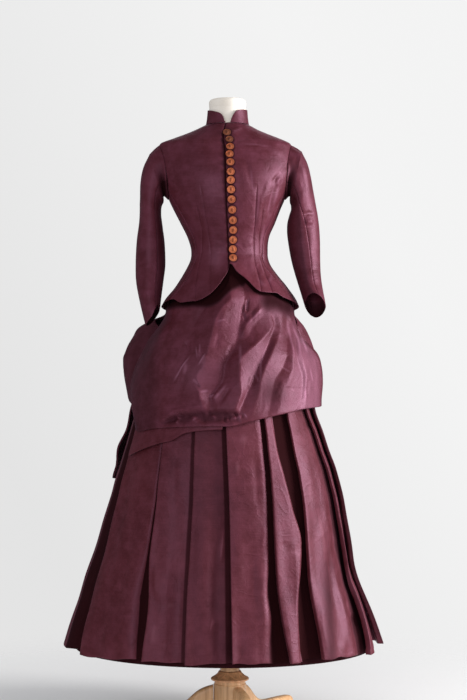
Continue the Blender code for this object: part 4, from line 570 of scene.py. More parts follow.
def cloth(name, nodes, points, outward, finish, rests_on, wall=0.0013, closed=False, centred=False,
          shade=None):
    """A sheet of cloth over a grid [row][column] of points, with its wall added by Solidify and its UV map in
    metres."""
    points = np.asarray(points, float)
    rows, cols = points.shape[:2]
    du = np.roll(points, -1, 1) - np.roll(points, 1, 1) if closed else np.gradient(points, axis=1)
    normal = np.cross(du, np.gradient(points, axis=0))
    flip = np.sum(normal * outward) < 0
    u, v = lengths(points, 1).mean(0), lengths(points, 0).mean(1)
    spans = cols if closed else cols - 1
    r, c = np.meshgrid(np.arange(rows - 1), np.arange(spans), indexing="ij")
    d = (c + 1) % cols
    quads = np.stack([r * cols + c, r * cols + d, (r + 1) * cols + d, (r + 1) * cols + c], -1).reshape(-1, 4)
    ahead = np.where(c + 1 < cols, u[d], u[c] + (u[1] - u[0]))
    corners = ((u[c], v[r]), (ahead, v[r]), (ahead, v[r + 1]), (u[c], v[r + 1]))
    uv = np.stack([np.stack(corner, -1) for corner in corners], 2).reshape(-1, 4, 2)
    if flip:
        quads, uv = quads[:, ::-1], uv[:, ::-1]
    mesh = bpy.data.meshes.new(name)
    mesh.from_pydata((points.reshape(-1, 3) + AXIS).tolist(), [], quads.tolist())
    layer = mesh.uv_layers.new(name="cloth")
    layer.data.foreach_set("uv", uv.reshape(-1).astype(np.float32))
    # shade above 0 is painted shade that darkens the silk, below 0 a painted highlight that lightens it
    tone = np.zeros((rows, cols)) if shade is None else np.clip(shade, -1, 1)
    mesh.attributes.new("shade", "FLOAT", "POINT").data.foreach_set("value", np.ravel(tone).astype(np.float32))
    mesh.materials.append(FINISHES[finish])
    mesh.shade_smooth()
    piece = bpy.data.objects.new(name, mesh)
    bpy.context.scene.collection.objects.link(piece)
    solid = piece.modifiers.new("wall", "SOLIDIFY")
    solid.thickness, solid.offset, solid.use_even_offset = wall, 0.0 if centred else -1.0, False
    link_piece(piece, nodes)
    return piece


def lofted(name, nodes, rings, finish, angle=35.0):
    """A solid piece: a filled circle extruded once for each further ring, then laid on the rings [ring][point]."""
    rings = np.asarray(rings, float)
    count = rings.shape[1]
    bpy.ops.object.select_all(action="DESELECT")
    bpy.ops.mesh.primitive_circle_add(vertices=count, radius=1.0, fill_type="NGON", location=(0, 0, 0))
    piece = bpy.context.active_object
    piece.name = piece.data.name = name
    bpy.ops.object.mode_set(mode="EDIT")
    for _ in range(len(rings) - 1):
        bpy.ops.mesh.extrude_region_move(TRANSFORM_OT_translate={"value": (0, 0, 1)})
    bpy.ops.object.mode_set(mode="OBJECT")
    for v in piece.data.vertices:
        k = int(round(v.co.z))
        c = int(round(math.atan2(v.co.y, v.co.x) / math.tau * count)) % count
        v.co = Vector(rings[k][c] + AXIS)
    bpy.ops.object.mode_set(mode="EDIT")
    bpy.ops.mesh.select_all(action="SELECT")
    bpy.ops.mesh.normals_make_consistent(inside=False)
    bpy.ops.object.mode_set(mode="OBJECT")
    bpy.ops.object.shade_smooth_by_angle(angle=math.radians(angle))
    piece.data.materials.append(FINISHES[finish])
    return link_piece(piece, nodes)


# ------------------------------------------------------------------ the bodice
hem_z = along(BODICE_HEM)
front_edge, underarm_seam, side_seam, back_seam = (along(t) for t in (FRONT_EDGE, UNDERARM_SEAM, SIDE_SEAM, BACK_SEAM))
# columns: height, turn of a dart or seam line sewn within a panel
DARTS = {1: (((1.06, 25.5), (1.18, 39.5), (1.29, 30.5), (1.355, 25.5)),
             ((1.06, 37.0), (1.18, 53.0), (1.26, 44.0), (1.33, 37.0))),
         -1: (((1.06, 15.5), (1.20, 30.0), (1.286, 27.0), (1.354, 25.5)),
              ((1.06, 30.0), (1.17, 48.0), (1.24, 38.0), (1.31, 34.0)))}


def armhole_turn(z):
    return ARMHOLE_HALF_TURN * np.sqrt(np.clip(1 - ((z - ARMHOLE_Z) / ARMHOLE_HALF_HEIGHT) ** 2, 0, 1))


def front_outer_turn(z):
    return np.where(z < UNDERARM_TOP_Z, underarm_seam(z), 90.0 - armhole_turn(z))


def back_outer_turn(z):
    return np.where(z < BACK_SEAM_TOP_Z, back_seam(z), 90.0 + armhole_turn(z))


def bodice_panel(name, node, side, guides, counts, top, cloth_folds, seams=(), lap=False, seed=0,
                 free_ends=(1, 1)):
    """A panel between its guide lines (turn at a height), with columns drawn together at each guide; seams are sewn
    lines along inner guides as (guide, low end, high end)."""
    low_shares = spread(24, 0.05)[:-1]
    exact = [1.3172, 1.3185, 1.4500, 1.4515, 1.4526, 1.5000, 1.5012, NECK_TOP_Z]
    levels = np.unique(np.concatenate([np.arange(WAIST_Z, 1.500, 0.0032), exact]))
    levels = levels if top is None or callable(top) else levels[levels < top]
    shares = spread(int(len(levels) * 0.5), 0.04) if callable(top) else None
    rows = len(low_shares) + (len(levels) if shares is None else len(shares))
    places = [spread(n, 0.10) for n in counts]
    cols = sum(counts) - len(counts) + 1
    z = np.full((rows, cols), 1.1)
    for _ in range(8):
        turn = np.zeros((rows, cols))
        ends = [g(z) for g in guides]
        ends[0] = ends[0] + free_ends[0] * gap_turn(BODY, side * ends[0], z, SEAM_GAP / 2)
        ends[-1] = ends[-1] - free_ends[1] * gap_turn(BODY, side * ends[-1], z, SEAM_GAP / 2)
        at = 0
        for k, share in enumerate(places):
            a, b = ends[k][:, at:at + len(share)], ends[k + 1][:, at:at + len(share)]
            turn[:, at:at + len(share)] = a + (b - a) * share
            at += len(share) - 1
        turn = side * turn
        low = hem_z(turn) if side > 0 else np.where(turn < -90, hem_z(-turn), hem_z(turn))
        below = len(low_shares)
        z[:below] = low[:below] + (WAIST_Z - low[:below]) * low_shares[:, None]
        z[below:] = levels[:, None] if shares is None else WAIST_Z + (top(turn[below:]) - WAIST_Z) * shares[:, None]
    p, n = surface(BODY, turn, z)
    lift = (folds(p[..., 0], p[..., 2], cloth_folds)
            + crinkles(p[..., 0], p[..., 2], seed, 70, (-190, 1050, 190, 1500), 34, 0.55, 0, 40))
    lift *= ease((z - 1.04) / 0.02 + 0.4)
    along_rows = lengths(p, 1)
    at = 0
    for k, count in enumerate(counts[:-1]):
        at += count - 1
        for which, low_end, high_end in seams:
            if which == k + 1:
                groove = 0.0019 * np.exp(-np.abs(along_rows - along_rows[:, at:at + 1]) / 0.0022)
                lift -= groove * ease((high_end - z) / 0.03) * ease((z - low_end) / 0.01 + 1)
    if lap:
        inner_edge = front_edge(z) + LAP_TURN
        lift -= UNDER_LAP * ease(1 - (inner_edge - 9.8 - turn) / 3.7)
    # the hem stands away from the skirts in front
    lift += 0.0065 * np.clip(1 - (z - low) / 0.045, 0, 1) ** 1.6 * ease((118 - np.abs(turn)) / 30)
    lift -= turned_in(p, "lrt", 0.0010)
    shade = np.zeros_like(lift)
    if free_ends[0] == 0:   # a front: shade round the buttons and along the closing edge
        for x, height in BUTTONS:
            shade += 0.55 * np.exp(-((np.hypot(p[..., 0] - x, p[..., 2] - height) - 0.0108) / 0.0022) ** 2)
        if lap:
            # painted shade along the closing edge, and two patches of painted highlight on the under front
            shade += 0.95 * np.exp(-((front_edge(z) - turn - 0.5) / 1.3) ** 2)
            shade -= (0.09 * patch(p[..., 0], z, -0.046, 1.335, 0.026, 0.042)
                      + 0.22 * patch(p[..., 0], z, -0.034, 1.168, 0.017, 0.024))
        # painted highlights along the creases
        shade -= 0.75 * glints(p[..., 0], z, BODICE_GLINTS)
    return cloth(name, [node], raised(p, n, lift), n, "dress_taffeta", ["form_torso"],
                 shade=shade)


def armhole_under(turn):
    share = np.sqrt(np.clip(1 - ((np.abs(turn) - 90) / ARMHOLE_HALF_TURN) ** 2, 0, 1))
    return ARMHOLE_Z - ARMHOLE_HALF_HEIGHT * share - SEAM_GAP / 2


def make_bodice():
    for side, word in ((1, "left"), (-1, "right")):
        dart_a, dart_b = (along(t) for t in DARTS[side])
        edge = front_edge if side > 0 else (lambda z: -front_edge(z) - LAP_TURN)
        bodice_panel("basque_front_" + word, "bodice_front_" + word, side, (edge, dart_a, dart_b, front_outer_turn),
                     (34, 18, 34), None,
                     BODICE_FRONT_FOLDS,
                     ((1, 1.03, 1.35), (2, 1.03, 1.31)), lap=side < 0, seed=3 + side, free_ends=(0, 1))
        bodice_panel("basque_underarm_" + word, "bodice_underarm_" + word, side, (underarm_seam, side_seam), (26,),
                     armhole_under, BODICE_FRONT_FOLDS, seed=7 + side)
        bodice_panel("basque_side_back_" + word, "bodice_side_back_" + word, side,
                     (lambda z: np.where(z < UNDERARM_TOP_Z, side_seam(z), 90.0 + armhole_turn(z)), back_seam), (22,),
                     1.402, BODICE_BACK_FOLDS, seed=11 + side)
        bodice_panel("basque_back_" + word, "bodice_back_" + word, side, (back_outer_turn, lambda z: 180.0 + 0 * z),
                     (34,), None, BODICE_BACK_FOLDS, seed=15 + side)


# columns: turn, height of the collar's top edge
COLLAR_TOP = {-1: ((10.6, 1.4995), (14.0, 1.5102), (17.4, 1.5196), (23.8, 1.5264), (34.4, 1.5311), (90.0, 1.5400),
                   (180.0, 1.5430)),
              1: ((1.0, 1.5001), (4.1, 1.5120), (9.2, 1.5211), (15.9, 1.5291), (22.9, 1.5344), (90.0, 1.5400),
                  (180.0, 1.5430))}


def make_collar():
    for side, word in ((1, "left"), (-1, "right")):
        top = along(COLLAR_TOP[side])
        first = COLLAR_TOP[side][0][0] + 0.4
        steps = first + (179.6 - first) * np.linspace(0, 1, 72) ** 1.35
        share = spread(16, 0.12)[:, None]
        low = NECK_TOP_Z - 0.0002
        turn = np.repeat(side * steps[None, :], len(share), 0)
        z = low + (np.maximum(top(steps), low + 0.003)[None, :] - low) * share
        p, n = surface(COLLAR, turn, z)
        lift = (crinkles(p[..., 0], p[..., 2], 21 + side, 26, (-60, 1500, 60, 1545), 22, 0.4, 80, 20)
                - turned_in(p, "lr", 0.0006))
        cloth("collar_stand_" + word, ["collar_" + word], raised(p, n, lift), n, "dress_taffeta",
              ["basque_back_" + word], wall=0.0018)


# ------------------------------------------------------------------ the sleeves
def armhole_ring(side, phi, lift=0.0003, grow=0.0):
    """The armhole's edge; phi 0 at the shoulder, 90 at the front, 180 underneath; grow widens it, for the seam's
    allowance."""
    z = ARMHOLE_Z + (ARMHOLE_HALF_HEIGHT + grow) * np.cos(np.radians(phi))
    turn = side * (90.0 - (ARMHOLE_HALF_TURN + grow * 350.0) * np.sin(np.radians(phi)))
    return ring_point(BODY, turn, z) + ring_normal(BODY, turn, z) * lift


def sleeve_surface(side, table, t, phi):
    """Points of a sleeve; t runs from -1 at the armhole through the table's stations."""
    table = np.array(table, float)
    at = np.arange(len(table), dtype=float)
    ox, oz, ix, iz, cy, hd = (smooth(at, table[:, k], np.maximum(t, 0)) for k in range(6))
    c, s = np.cos(np.radians(phi)), np.sin(np.radians(phi))
    outer, inner = np.stack([side * ox, cy, oz], -1), np.stack([side * ix, cy, iz], -1)
    p = (outer + inner) / 2 + (outer - inner) / 2 * c[..., None] + np.stack([0 * hd, -hd * s, 0 * hd], -1)
    front, back = CUFF_CUT[side]
    cut = np.where(s > 0, front, -back) * s * np.abs(s) ** 0.3
    if side < 0:
        cut = cut + 0.016 * np.clip(-2 * s * c, 0, 1) * (s > 0)
    p[..., 2] += cut * np.clip(t - (len(table) - 2), 0, 1) ** 1.5
    head = np.clip(-t, 0, 1)[..., None]
    p = p * (1 - head) + armhole_ring(side, phi) * head
    # below t = -1 the cloth turns in under the bodice's edge
    under = np.clip((-1 - t) / 0.02, 0, 1)[..., None]
    tuck = np.clip((-1.02 - t) / 0.02, 0, 1)[..., None]
    tucked = armhole_ring(side, phi, -0.0030) * (1 - tuck) + armhole_ring(side, phi, -0.0031, 0.004) * tuck
    return p * (1 - under) + tucked * under


def sleeve_piece(name, node, side, table, turn_a, turn_b, cols, area, seed):
    count = len(table) - 1
    t = np.concatenate([[-1.04, -1.02, -1.01], -1 + spread(18, 0.12)[:-1], np.linspace(0, count, 96)[:-3],
                        count - np.array([0.028, 0.014, 0.005, 0.0])])[:, None]
    seams = np.array(table, float)
    a = smooth(np.arange(count + 1.0), seams[:, turn_a[0]], np.maximum(t, 0)) + turn_a[1] + 0.06
    b = smooth(np.arange(count + 1.0), seams[:, turn_b[0]], np.maximum(t, 0)) + turn_b[1] - 0.06
    phi = a + (b - a) * spread(cols, 0.06)[None, :]
    t = t + 0 * phi
    p = sleeve_surface(side, table, t, phi)
    middle = sleeve_surface(side, table, t, phi + 180.0)
    out = p - (p + middle) / 2
    n = np.cross(np.gradient(p, axis=1), np.gradient(p, axis=0))
    n /= np.linalg.norm(n, axis=-1, keepdims=True)
    n *= np.sign(np.sum(n * out))
    x, z = p[..., 0], p[..., 2]
    ahead = ease(-n[..., 1] * 1.6 + 0.3)
    lift = folds(x, z, SLEEVE_FOLDS[side]) * ahead
    behind = [(line, d * 0.8, l, r) for line, d, l, r in SLEEVE_FOLDS[side][1:]]
    lift += folds(x, z, behind) * ease(n[..., 1] * 1.6 + 0.1)
    lift += crinkles(phi * 0.0009 * side, z, seed, 60, (-250, 1000, 250, 1440), 30, 0.6, 8, 35)
    gathers = (0.0011 * np.sin(np.radians(phi * 13 + 20 * np.sin(np.radians(phi * 3)))) * bell(t, -0.45, 0.45)
               * ease(np.cos(np.radians(phi)) + 0.5))
    hollow = 0.013 * bell(t, -0.5, 0.34) * ease(0.45 - np.cos(np.radians(phi))) * ease((t + 1) / 0.3)
    lift = lift * ease((t + 1) / 0.5) + gathers * ease((t + 1) / 0.2) - hollow - turned_in(p, "lrt", 0.0013)
    # painted shade on the under sleeve, in the armhole's hollow and under the arm
    under_arm = 0.22 * ease(-n[..., 1] + 0.6) * (1 - (side > 0) * ease((n[..., 0] + 0.3) / 0.2))
    armpit = 0.9 * ease((-0.9 - t) / 0.1) * ease(0.4 - np.cos(np.radians(phi)))
    shade = hollow / 0.013 * 0.85 + (under_arm if "below" in name else 0.0) + armpit
    # a painted highlight on the lower +X sleeve, on the side that faces the light
    if side > 0:
        shade = shade - (0.40 * ease((1.290 - z) / 0.05) * ease((n[..., 0] + 0.08) / 0.2)
                         * ease((1.02 - n[..., 0]) / 0.2) * ease((0.3 - n[..., 1]) / 0.3))
    # the shadow within the cuff, on the wall behind
    shade = np.maximum(shade, 0.9 * ease((t - (count - 0.42)) / 0.25) * ease((n[..., 1] - 0.10) / 0.30))
    cloth(name, [node], raised(p, n, lift), n, "dress_taffeta",
          ["basque_front_" + name.rsplit("_", 1)[1]], shade=shade)


def make_sleeves():
    for side, word, table in ((-1, "right", SLEEVE_MINUS_X), (1, "left", SLEEVE_PLUS_X)):
        sleeve_piece("sleeve_top_" + word, "sleeve_upper_" + word, side, table, (7, -360.0), (6, 0.0), 54,
                     0.067 if side < 0 else 0.059, 31 + side)
        sleeve_piece("sleeve_below_" + word, "sleeve_under_" + word, side, table, (6, 0.0), (7, 0.0), 34,
                     0.032 if side < 0 else 0.037, 35 + side)


# ------------------------------------------------------------------ the buttons
# columns: inset, rise of each step from the rim to the dome's middle
BUTTON_STEPS = ((0.0006, 0.0003), (0.0008, 0.0), (0.0003, -0.0007), (0.0006, 0.0),
                (0.0011, 0.0004), (0.0014, 0.0003), (0.0014, 0.0002), (0.0014, 0.0001))
BUTTON_SPINS = (7, -12, 16, -8, 4, 12, -5, -3, 9, 14, 2, -10, -6, 12, 10)   # degrees that each has turned on its shank
BUTTON_LIFT, HEM_BUTTON_LIFT = 0.0004, 0.0018   # the last one sits where the hem stands away
# the top two buttons get a darker, rougher copy of the copper finish
DULL_BUTTONS = 2


def make_buttons(radius):
    bpy.ops.object.select_all(action="DESELECT")
    bpy.ops.mesh.primitive_cylinder_add(vertices=40, radius=radius * 0.98, depth=0.0022, location=(0, 0, 0.0023))
    model = bpy.context.active_object
    bpy.ops.object.mode_set(mode="EDIT")
    bpy.ops.mesh.select_all(action="DESELECT")
    bpy.ops.mesh.select_mode(type="FACE")
    bpy.ops.object.mode_set(mode="OBJECT")
    for face in model.data.polygons:
        face.select = face.normal.z > 0.9
    bpy.ops.object.mode_set(mode="EDIT")
    # a rolled rim, a groove inside it and a dome
    for thick, rise in BUTTON_STEPS:
        bpy.ops.mesh.inset(thickness=thick, depth=0)
        if rise:
            bpy.ops.transform.translate(value=(0, 0, rise))
    bpy.ops.object.mode_set(mode="OBJECT")
    # an upright oval boss on the dome, flattened
    bpy.ops.object.select_all(action="DESELECT")
    bpy.ops.mesh.primitive_uv_sphere_add(segments=24, ring_count=10, radius=1.0, location=(0, 0, 0))
    boss = bpy.context.active_object
    boss.data.transform(Matrix.Translation((0, 0, 0.0041)) @ Matrix.Diagonal((0.0030, 0.0050, 0.0007, 1)))
    disc_points = len(model.data.vertices)
    boss.select_set(True)
    model.select_set(True)
    bpy.context.view_layer.objects.active = model
    bpy.ops.object.join()
    bpy.ops.object.transform_apply(location=True, rotation=True, scale=True)
    bpy.ops.object.shade_smooth_by_angle(angle=math.radians(40))
    model.data.materials.clear()
    # dark patina in the groove and on the boss; painted shade on the rim's edge, for the dark line where the button
    # meets the cloth
    dark = model.data.attributes.new("hollow", "FLOAT", "POINT")
    for k, (v, cell) in enumerate(zip(model.data.vertices, dark.data)):
        r = math.hypot(v.co.x, v.co.y) / radius
        cell.value = min(1.0, 0.8 * (r > 0.955) + 0.25
            * math.exp(-((r - 0.80) / 0.04) ** 2)) if k < disc_points else 0.6
    made = []
    for k, (x, z) in enumerate(BUTTONS):
        turn = turn_at(BODY, x, z)
        p, n = surface(BODY, turn, z)
        side_way = np.cross([0, 0, 1.0], n)
        side_way /= np.linalg.norm(side_way)
        spin = math.radians(BUTTON_SPINS[k])
        up = np.cross(n, side_way)
        a, b = side_way * math.cos(spin) + up * math.sin(spin), up * math.cos(spin) - side_way * math.sin(spin)
        o = p + AXIS + n * (HEM_BUTTON_LIFT if k == len(BUTTONS) - 1 else BUTTON_LIFT)
        place = Matrix(((a[0], b[0], n[0], o[0]), (a[1], b[1], n[1], o[1]), (a[2], b[2], n[2], o[2]), (0, 0, 0, 1)))
        mesh = model.data.copy()
        mesh.transform(place)
        mesh.materials.append(FINISHES["dull_button"] if k < DULL_BUTTONS else FINISHES["copper_button"])
        piece = bpy.data.objects.new("dress_button_%02d" % (k + 1), mesh)
        bpy.context.scene.collection.objects.link(piece)
        made.append(link_piece(piece, ["button_%02d" % (k + 1)]))
    bpy.data.objects.remove(model)
    return made


# ------------------------------------------------------------------ the skirts
pleat_height, pleat_underlap = along(PLEAT_HEIGHT), along(PLEAT_UNDERLAP)


def foundation_table():
    low = []
    for z in FLOUNCE[:-1, 0]:
        h = float(pleat_height(z)) + 0.0065
        row = [float(smooth(FLOUNCE[:, 0], FLOUNCE[:, k], z)) for k in range(1, 6)]
        low.append((z, row[0] - h, row[1] - h, row[2] - h, row[3] - h, row[4]))
    return np.array(low + [tuple(r) for r in FOUNDATION_UPPER[1:]])


def make_foundation():
    table = foundation_table()
    for word, a, b in (("front", -90.0, 90.0), ("back", 90.0, 270.0)):
        z = np.concatenate([[0.1920, 0.1935, 0.1960], np.linspace(0.203, SKIRT_TOP_Z - 0.0120, 76)])
        turn = (a + (b - a) * spread(72, 0.02))[None, :] + 0 * z[:, None]
        z = z[:, None] + 0 * turn
        p, n = surface(table, turn, z)
        lift = 0.0012 * np.sin(np.radians(turn * 17)) * ease((z - 0.25) / 0.2) * ease((0.8 - z) / 0.2) - turned_in(p,
            "lrb", 0.0008)
        # painted shade low on the underskirt, inside the hem
        shade = ease((0.230 - z) / 0.02) * 0.75
        cloth("underskirt_" + word, ["foundation_" + word], raised(p, n, lift), n, "skirt_taffeta",
              ["skirt_waistband"], wall=0.0012, shade=shade)
    steps = np.arange(96) * 3.75
    z = (SKIRT_TOP_Z + np.array([-0.0112, -0.0107, -0.0095, -0.004, 0.000, 0.0025, 0.0035, 0.004]))[:,
        None] + 0 * steps[None, :]
    turn = steps[None, :] + 0 * z
    p, n = surface(table, turn, z)
    cloth("skirt_waistband", ["waistband"], p + n * 0.0002, n, "skirt_taffeta",
          ["form_torso"], wall=0.0017, closed=True)


# pleats whose panel ends before the next edge: (height, turn of its end) table, its level there, and the share of the
# way to the next edge at which it is down
PANEL_ENDS = {0: (((0.190, -34.2), (0.280, -36.6), (0.352, -38.0), (0.434, -37.8), (0.540, -38.2), (0.850, -44.0)),
                  0.55, 0.35),
              3: (((0.190, 12.0), (0.258, 13.4), (0.314, 15.7), (0.360, 14.8), (0.430, 16.7), (0.528, 17.1),
                   (0.850, 18.0)), 0.60, 0.7),
              4: (((0.190, 25.6), (0.335, 29.3), (0.436, 34.4), (0.487, 35.6), (0.566, 31.9), (0.690, 27.5),
                   (0.850, 26.5)), 0.80, 0.12),
              6: (((0.190, 66.5), (0.299, 71.0), (0.391, 72.5), (0.473, 70.5), (0.608, 67.5), (0.760, 65.0),
                   (0.850, 61.0)), 0.85, 0.60),
              18: (((0.190, 280.0), (0.850, 278.0)), 0.80, 0.45)}


CORNERS = 7   # of one pleat
PLEAT_COLUMNS = 3 * 5 + 4 * 2 + 20   # points of one pleat: three at five corners, four at two, and 20 between corners


def pleat_outline(z):
    """The pleated wall's line in the level plane, one turn round: per pleat a rolled fold edge, a panel sloping back,
    and the fold under the next edge. Returns rows of x, y, z and a tone for the painted shade, 1 on a fold edge and 0
    behind a fold."""
    edges = [float(along(t)(z)) for t in FRONT_PLEATS] + list(BACK_PLEAT_TURNS)
    edges.append(edges[0] + 360.0)
    h, lap = float(pleat_height(z)), float(pleat_underlap(z))
    corners = []
    for k, (e, f) in enumerate(zip(edges, edges[1:])):
        u, w = float(gap_turn(FLOUNCE, e, z, lap)), float(gap_turn(FLOUNCE, f, z, lap))
        if k in PANEL_ENDS:
            stop, level, foot = PANEL_ENDS[k]
            end = float(along(stop)(z))
            body = [(e + 0.5 * (end - e), (1.0 + level) * 0.49, 0.8), (end, level, 0.12 if k < 5 else 0.5),
                    (end + foot * (f - end), 0.03, 0.0)]
        else:
            body = [(e + u, 0.80, 0.80), (e + 0.62 * (f - e), 0.34, 0.34), (f - 0.02 * (f - e), 0.06, 0.06)]
        corners += [(e, 1.0, 1.0), *body, (f + w, 0.0, 0.0), (f + w, 0.42, 0.4), (f, 0.52, 0.5)]
    corners = np.array(corners)
    p, n = surface(FLOUNCE, corners[:, 0], z)
    n[:, 2] = 0
    n /= np.linalg.norm(n, axis=1, keepdims=True)
    p = p + n * (h * (corners[:, 1:2] - 1.0))
    ahead = np.roll(p, -1, 0) - p
    gap = np.linalg.norm(ahead, axis=1)
    ahead /= gap[:, None]
    before, room = np.roll(ahead, 1, 0), np.minimum(np.roll(gap, 1), gap) * 0.42
    radius = np.tile([0.0024, 0.016, 0.008, 0.012, 0.0015, 0.0015, 0.0024], len(edges) - 1)
    cut = np.minimum(radius * (0.6 + 12 * h), room)[:, None]
    # the tone sets the painted shade in the recesses behind the fold edges
    tone = corners[:, 2]
    line, within = [], (3, 5, 4, 3, 1, 3, 1)
    for k in range(len(p)):
        a, b = p[k] - before[k] * cut[k], p[k] + ahead[k] * cut[k]
        for t in ((0, 0.33, 0.67, 1) if k % CORNERS in (0, 6) else (0, 0.5, 1)):
            line.append([*(a * (1 - t) ** 2 + p[k] * 2 * t * (1 - t) + b * t * t), tone[k]])
        nxt = (k + 1) % len(p)
        c = p[nxt] - before[nxt] * cut[nxt]
        for j in range(within[k % CORNERS]):
            share = (j + 1) / (within[k % CORNERS] + 1)
            line.append([*(b + (c - b) * share), tone[k] + (tone[nxt] - tone[k]) * share])
    return np.array(line)


def make_flounce():
    z = np.concatenate([[0, 0.0012, 0.003], np.linspace(0.008, FLOUNCE_TOP_Z - FLOUNCE_HEM_Z, 78)]) + FLOUNCE_HEM_Z
    ring = np.array([pleat_outline(float(h)) for h in z])
    ring, level = ring[..., :3], ring[..., 3]
    # painted shade in the recesses behind each pleat's edge
    shade = ease((0.10 - level) / 0.07) * 0.85
    n = np.cross(np.roll(ring, -1, 1) - np.roll(ring, 1, 1), np.gradient(ring, axis=0))
    n /= np.maximum(np.linalg.norm(n, axis=-1, keepdims=True), 1e-9)
    centre = ring.mean(1, keepdims=True)
    out = ring - centre
    out[..., 2] = 0
    out /= np.linalg.norm(out, axis=-1, keepdims=True)
    round_way = np.arctan2(ring[..., 0], -(ring[..., 1] - 0.05))
    x, h = ring[..., 0], ring[..., 2]
    ahead = ease((-out[..., 1] + 0.15) * 1.6)
    lift = (folds(x, h, SKIRT_FOLDS) * ahead
            + crinkles(round_way * 0.3, h, 41, 170, (-950, 215, 950, 830), 60, 0.4, 62, 45))
    low = 1 - ease((h - 0.2) / 0.55)
    lift += (0.0022 * np.sin(round_way * 23 + 3 * np.sin(h * 7)) + 0.0018 * np.sin(round_way * 41 + 9 * h)) * low
    column = np.arange(ring.shape[1])[None, :] / PLEAT_COLUMNS
    # a strip of painted shade and a strip of painted highlight on the +X side
    dark_strip = 0.38 * np.exp(-((x - 0.236 - (0.35 - h) * 0.05) / 0.013) ** 2) * ease((0.47 - h) / 0.1) * ahead
    lit_strip = 0.10 * bell(x, 0.283, 0.014) * ease((0.42 - h) / 0.1) * ahead
    shade = shade + dark_strip - lit_strip
    # painted shade on single pleats: the third and fourth, the eighth and the last
    shade += ((column >= 2) & (column < 3)) * 0.13 + ((column >= 3) & (column < 4)) * 0.07 * low
    last_pleat = 0.8 * ease((column - 18.25) / 0.15)
    shade = np.maximum(shade, last_pleat + 0.4 * ease((column - 6.97) / 0.04) * ease((7.9 - column) / 0.4))
    # painted highlights along the creases, where the painted shade is light
    shade = shade - 0.55 * glints(x, h, SKIRT_GLINTS) * ahead * (shade < 0.3)
    ring = ring + out * np.minimum(lift, 0.004)[..., None]
    sag = (0.0018 * np.sin(round_way * 9 + 1) + 0.0012 * np.sin(round_way * 31)
           - 0.0085 * bell(np.abs(round_way), 1.40, 0.45))
    ring[..., 2] += sag * (1 - ease((h - 0.2) / 0.1))
    total = ring.shape[1]
    # the front and back lengths meet just inside the rolled edges of pleats 9 and 19
    cut_front, cut_back = PLEAT_COLUMNS * 8 + 6, PLEAT_COLUMNS * 18 + 6
    for word, first, last in (("front", cut_back - total, cut_front), ("back", cut_front, cut_back)):
        take = [k % total for k in range(first, last + 1)]
        p, m = ring[:, take], out[:, take]
        p = p - m * turned_in(p, "b", 0.0008)[..., None]
        cloth("pleated_skirt_" + word, ["flounce_" + word], p, m, "skirt_taffeta",
              ["underskirt_" + word], wall=0.0012, centred=True, shade=shade[:, take])


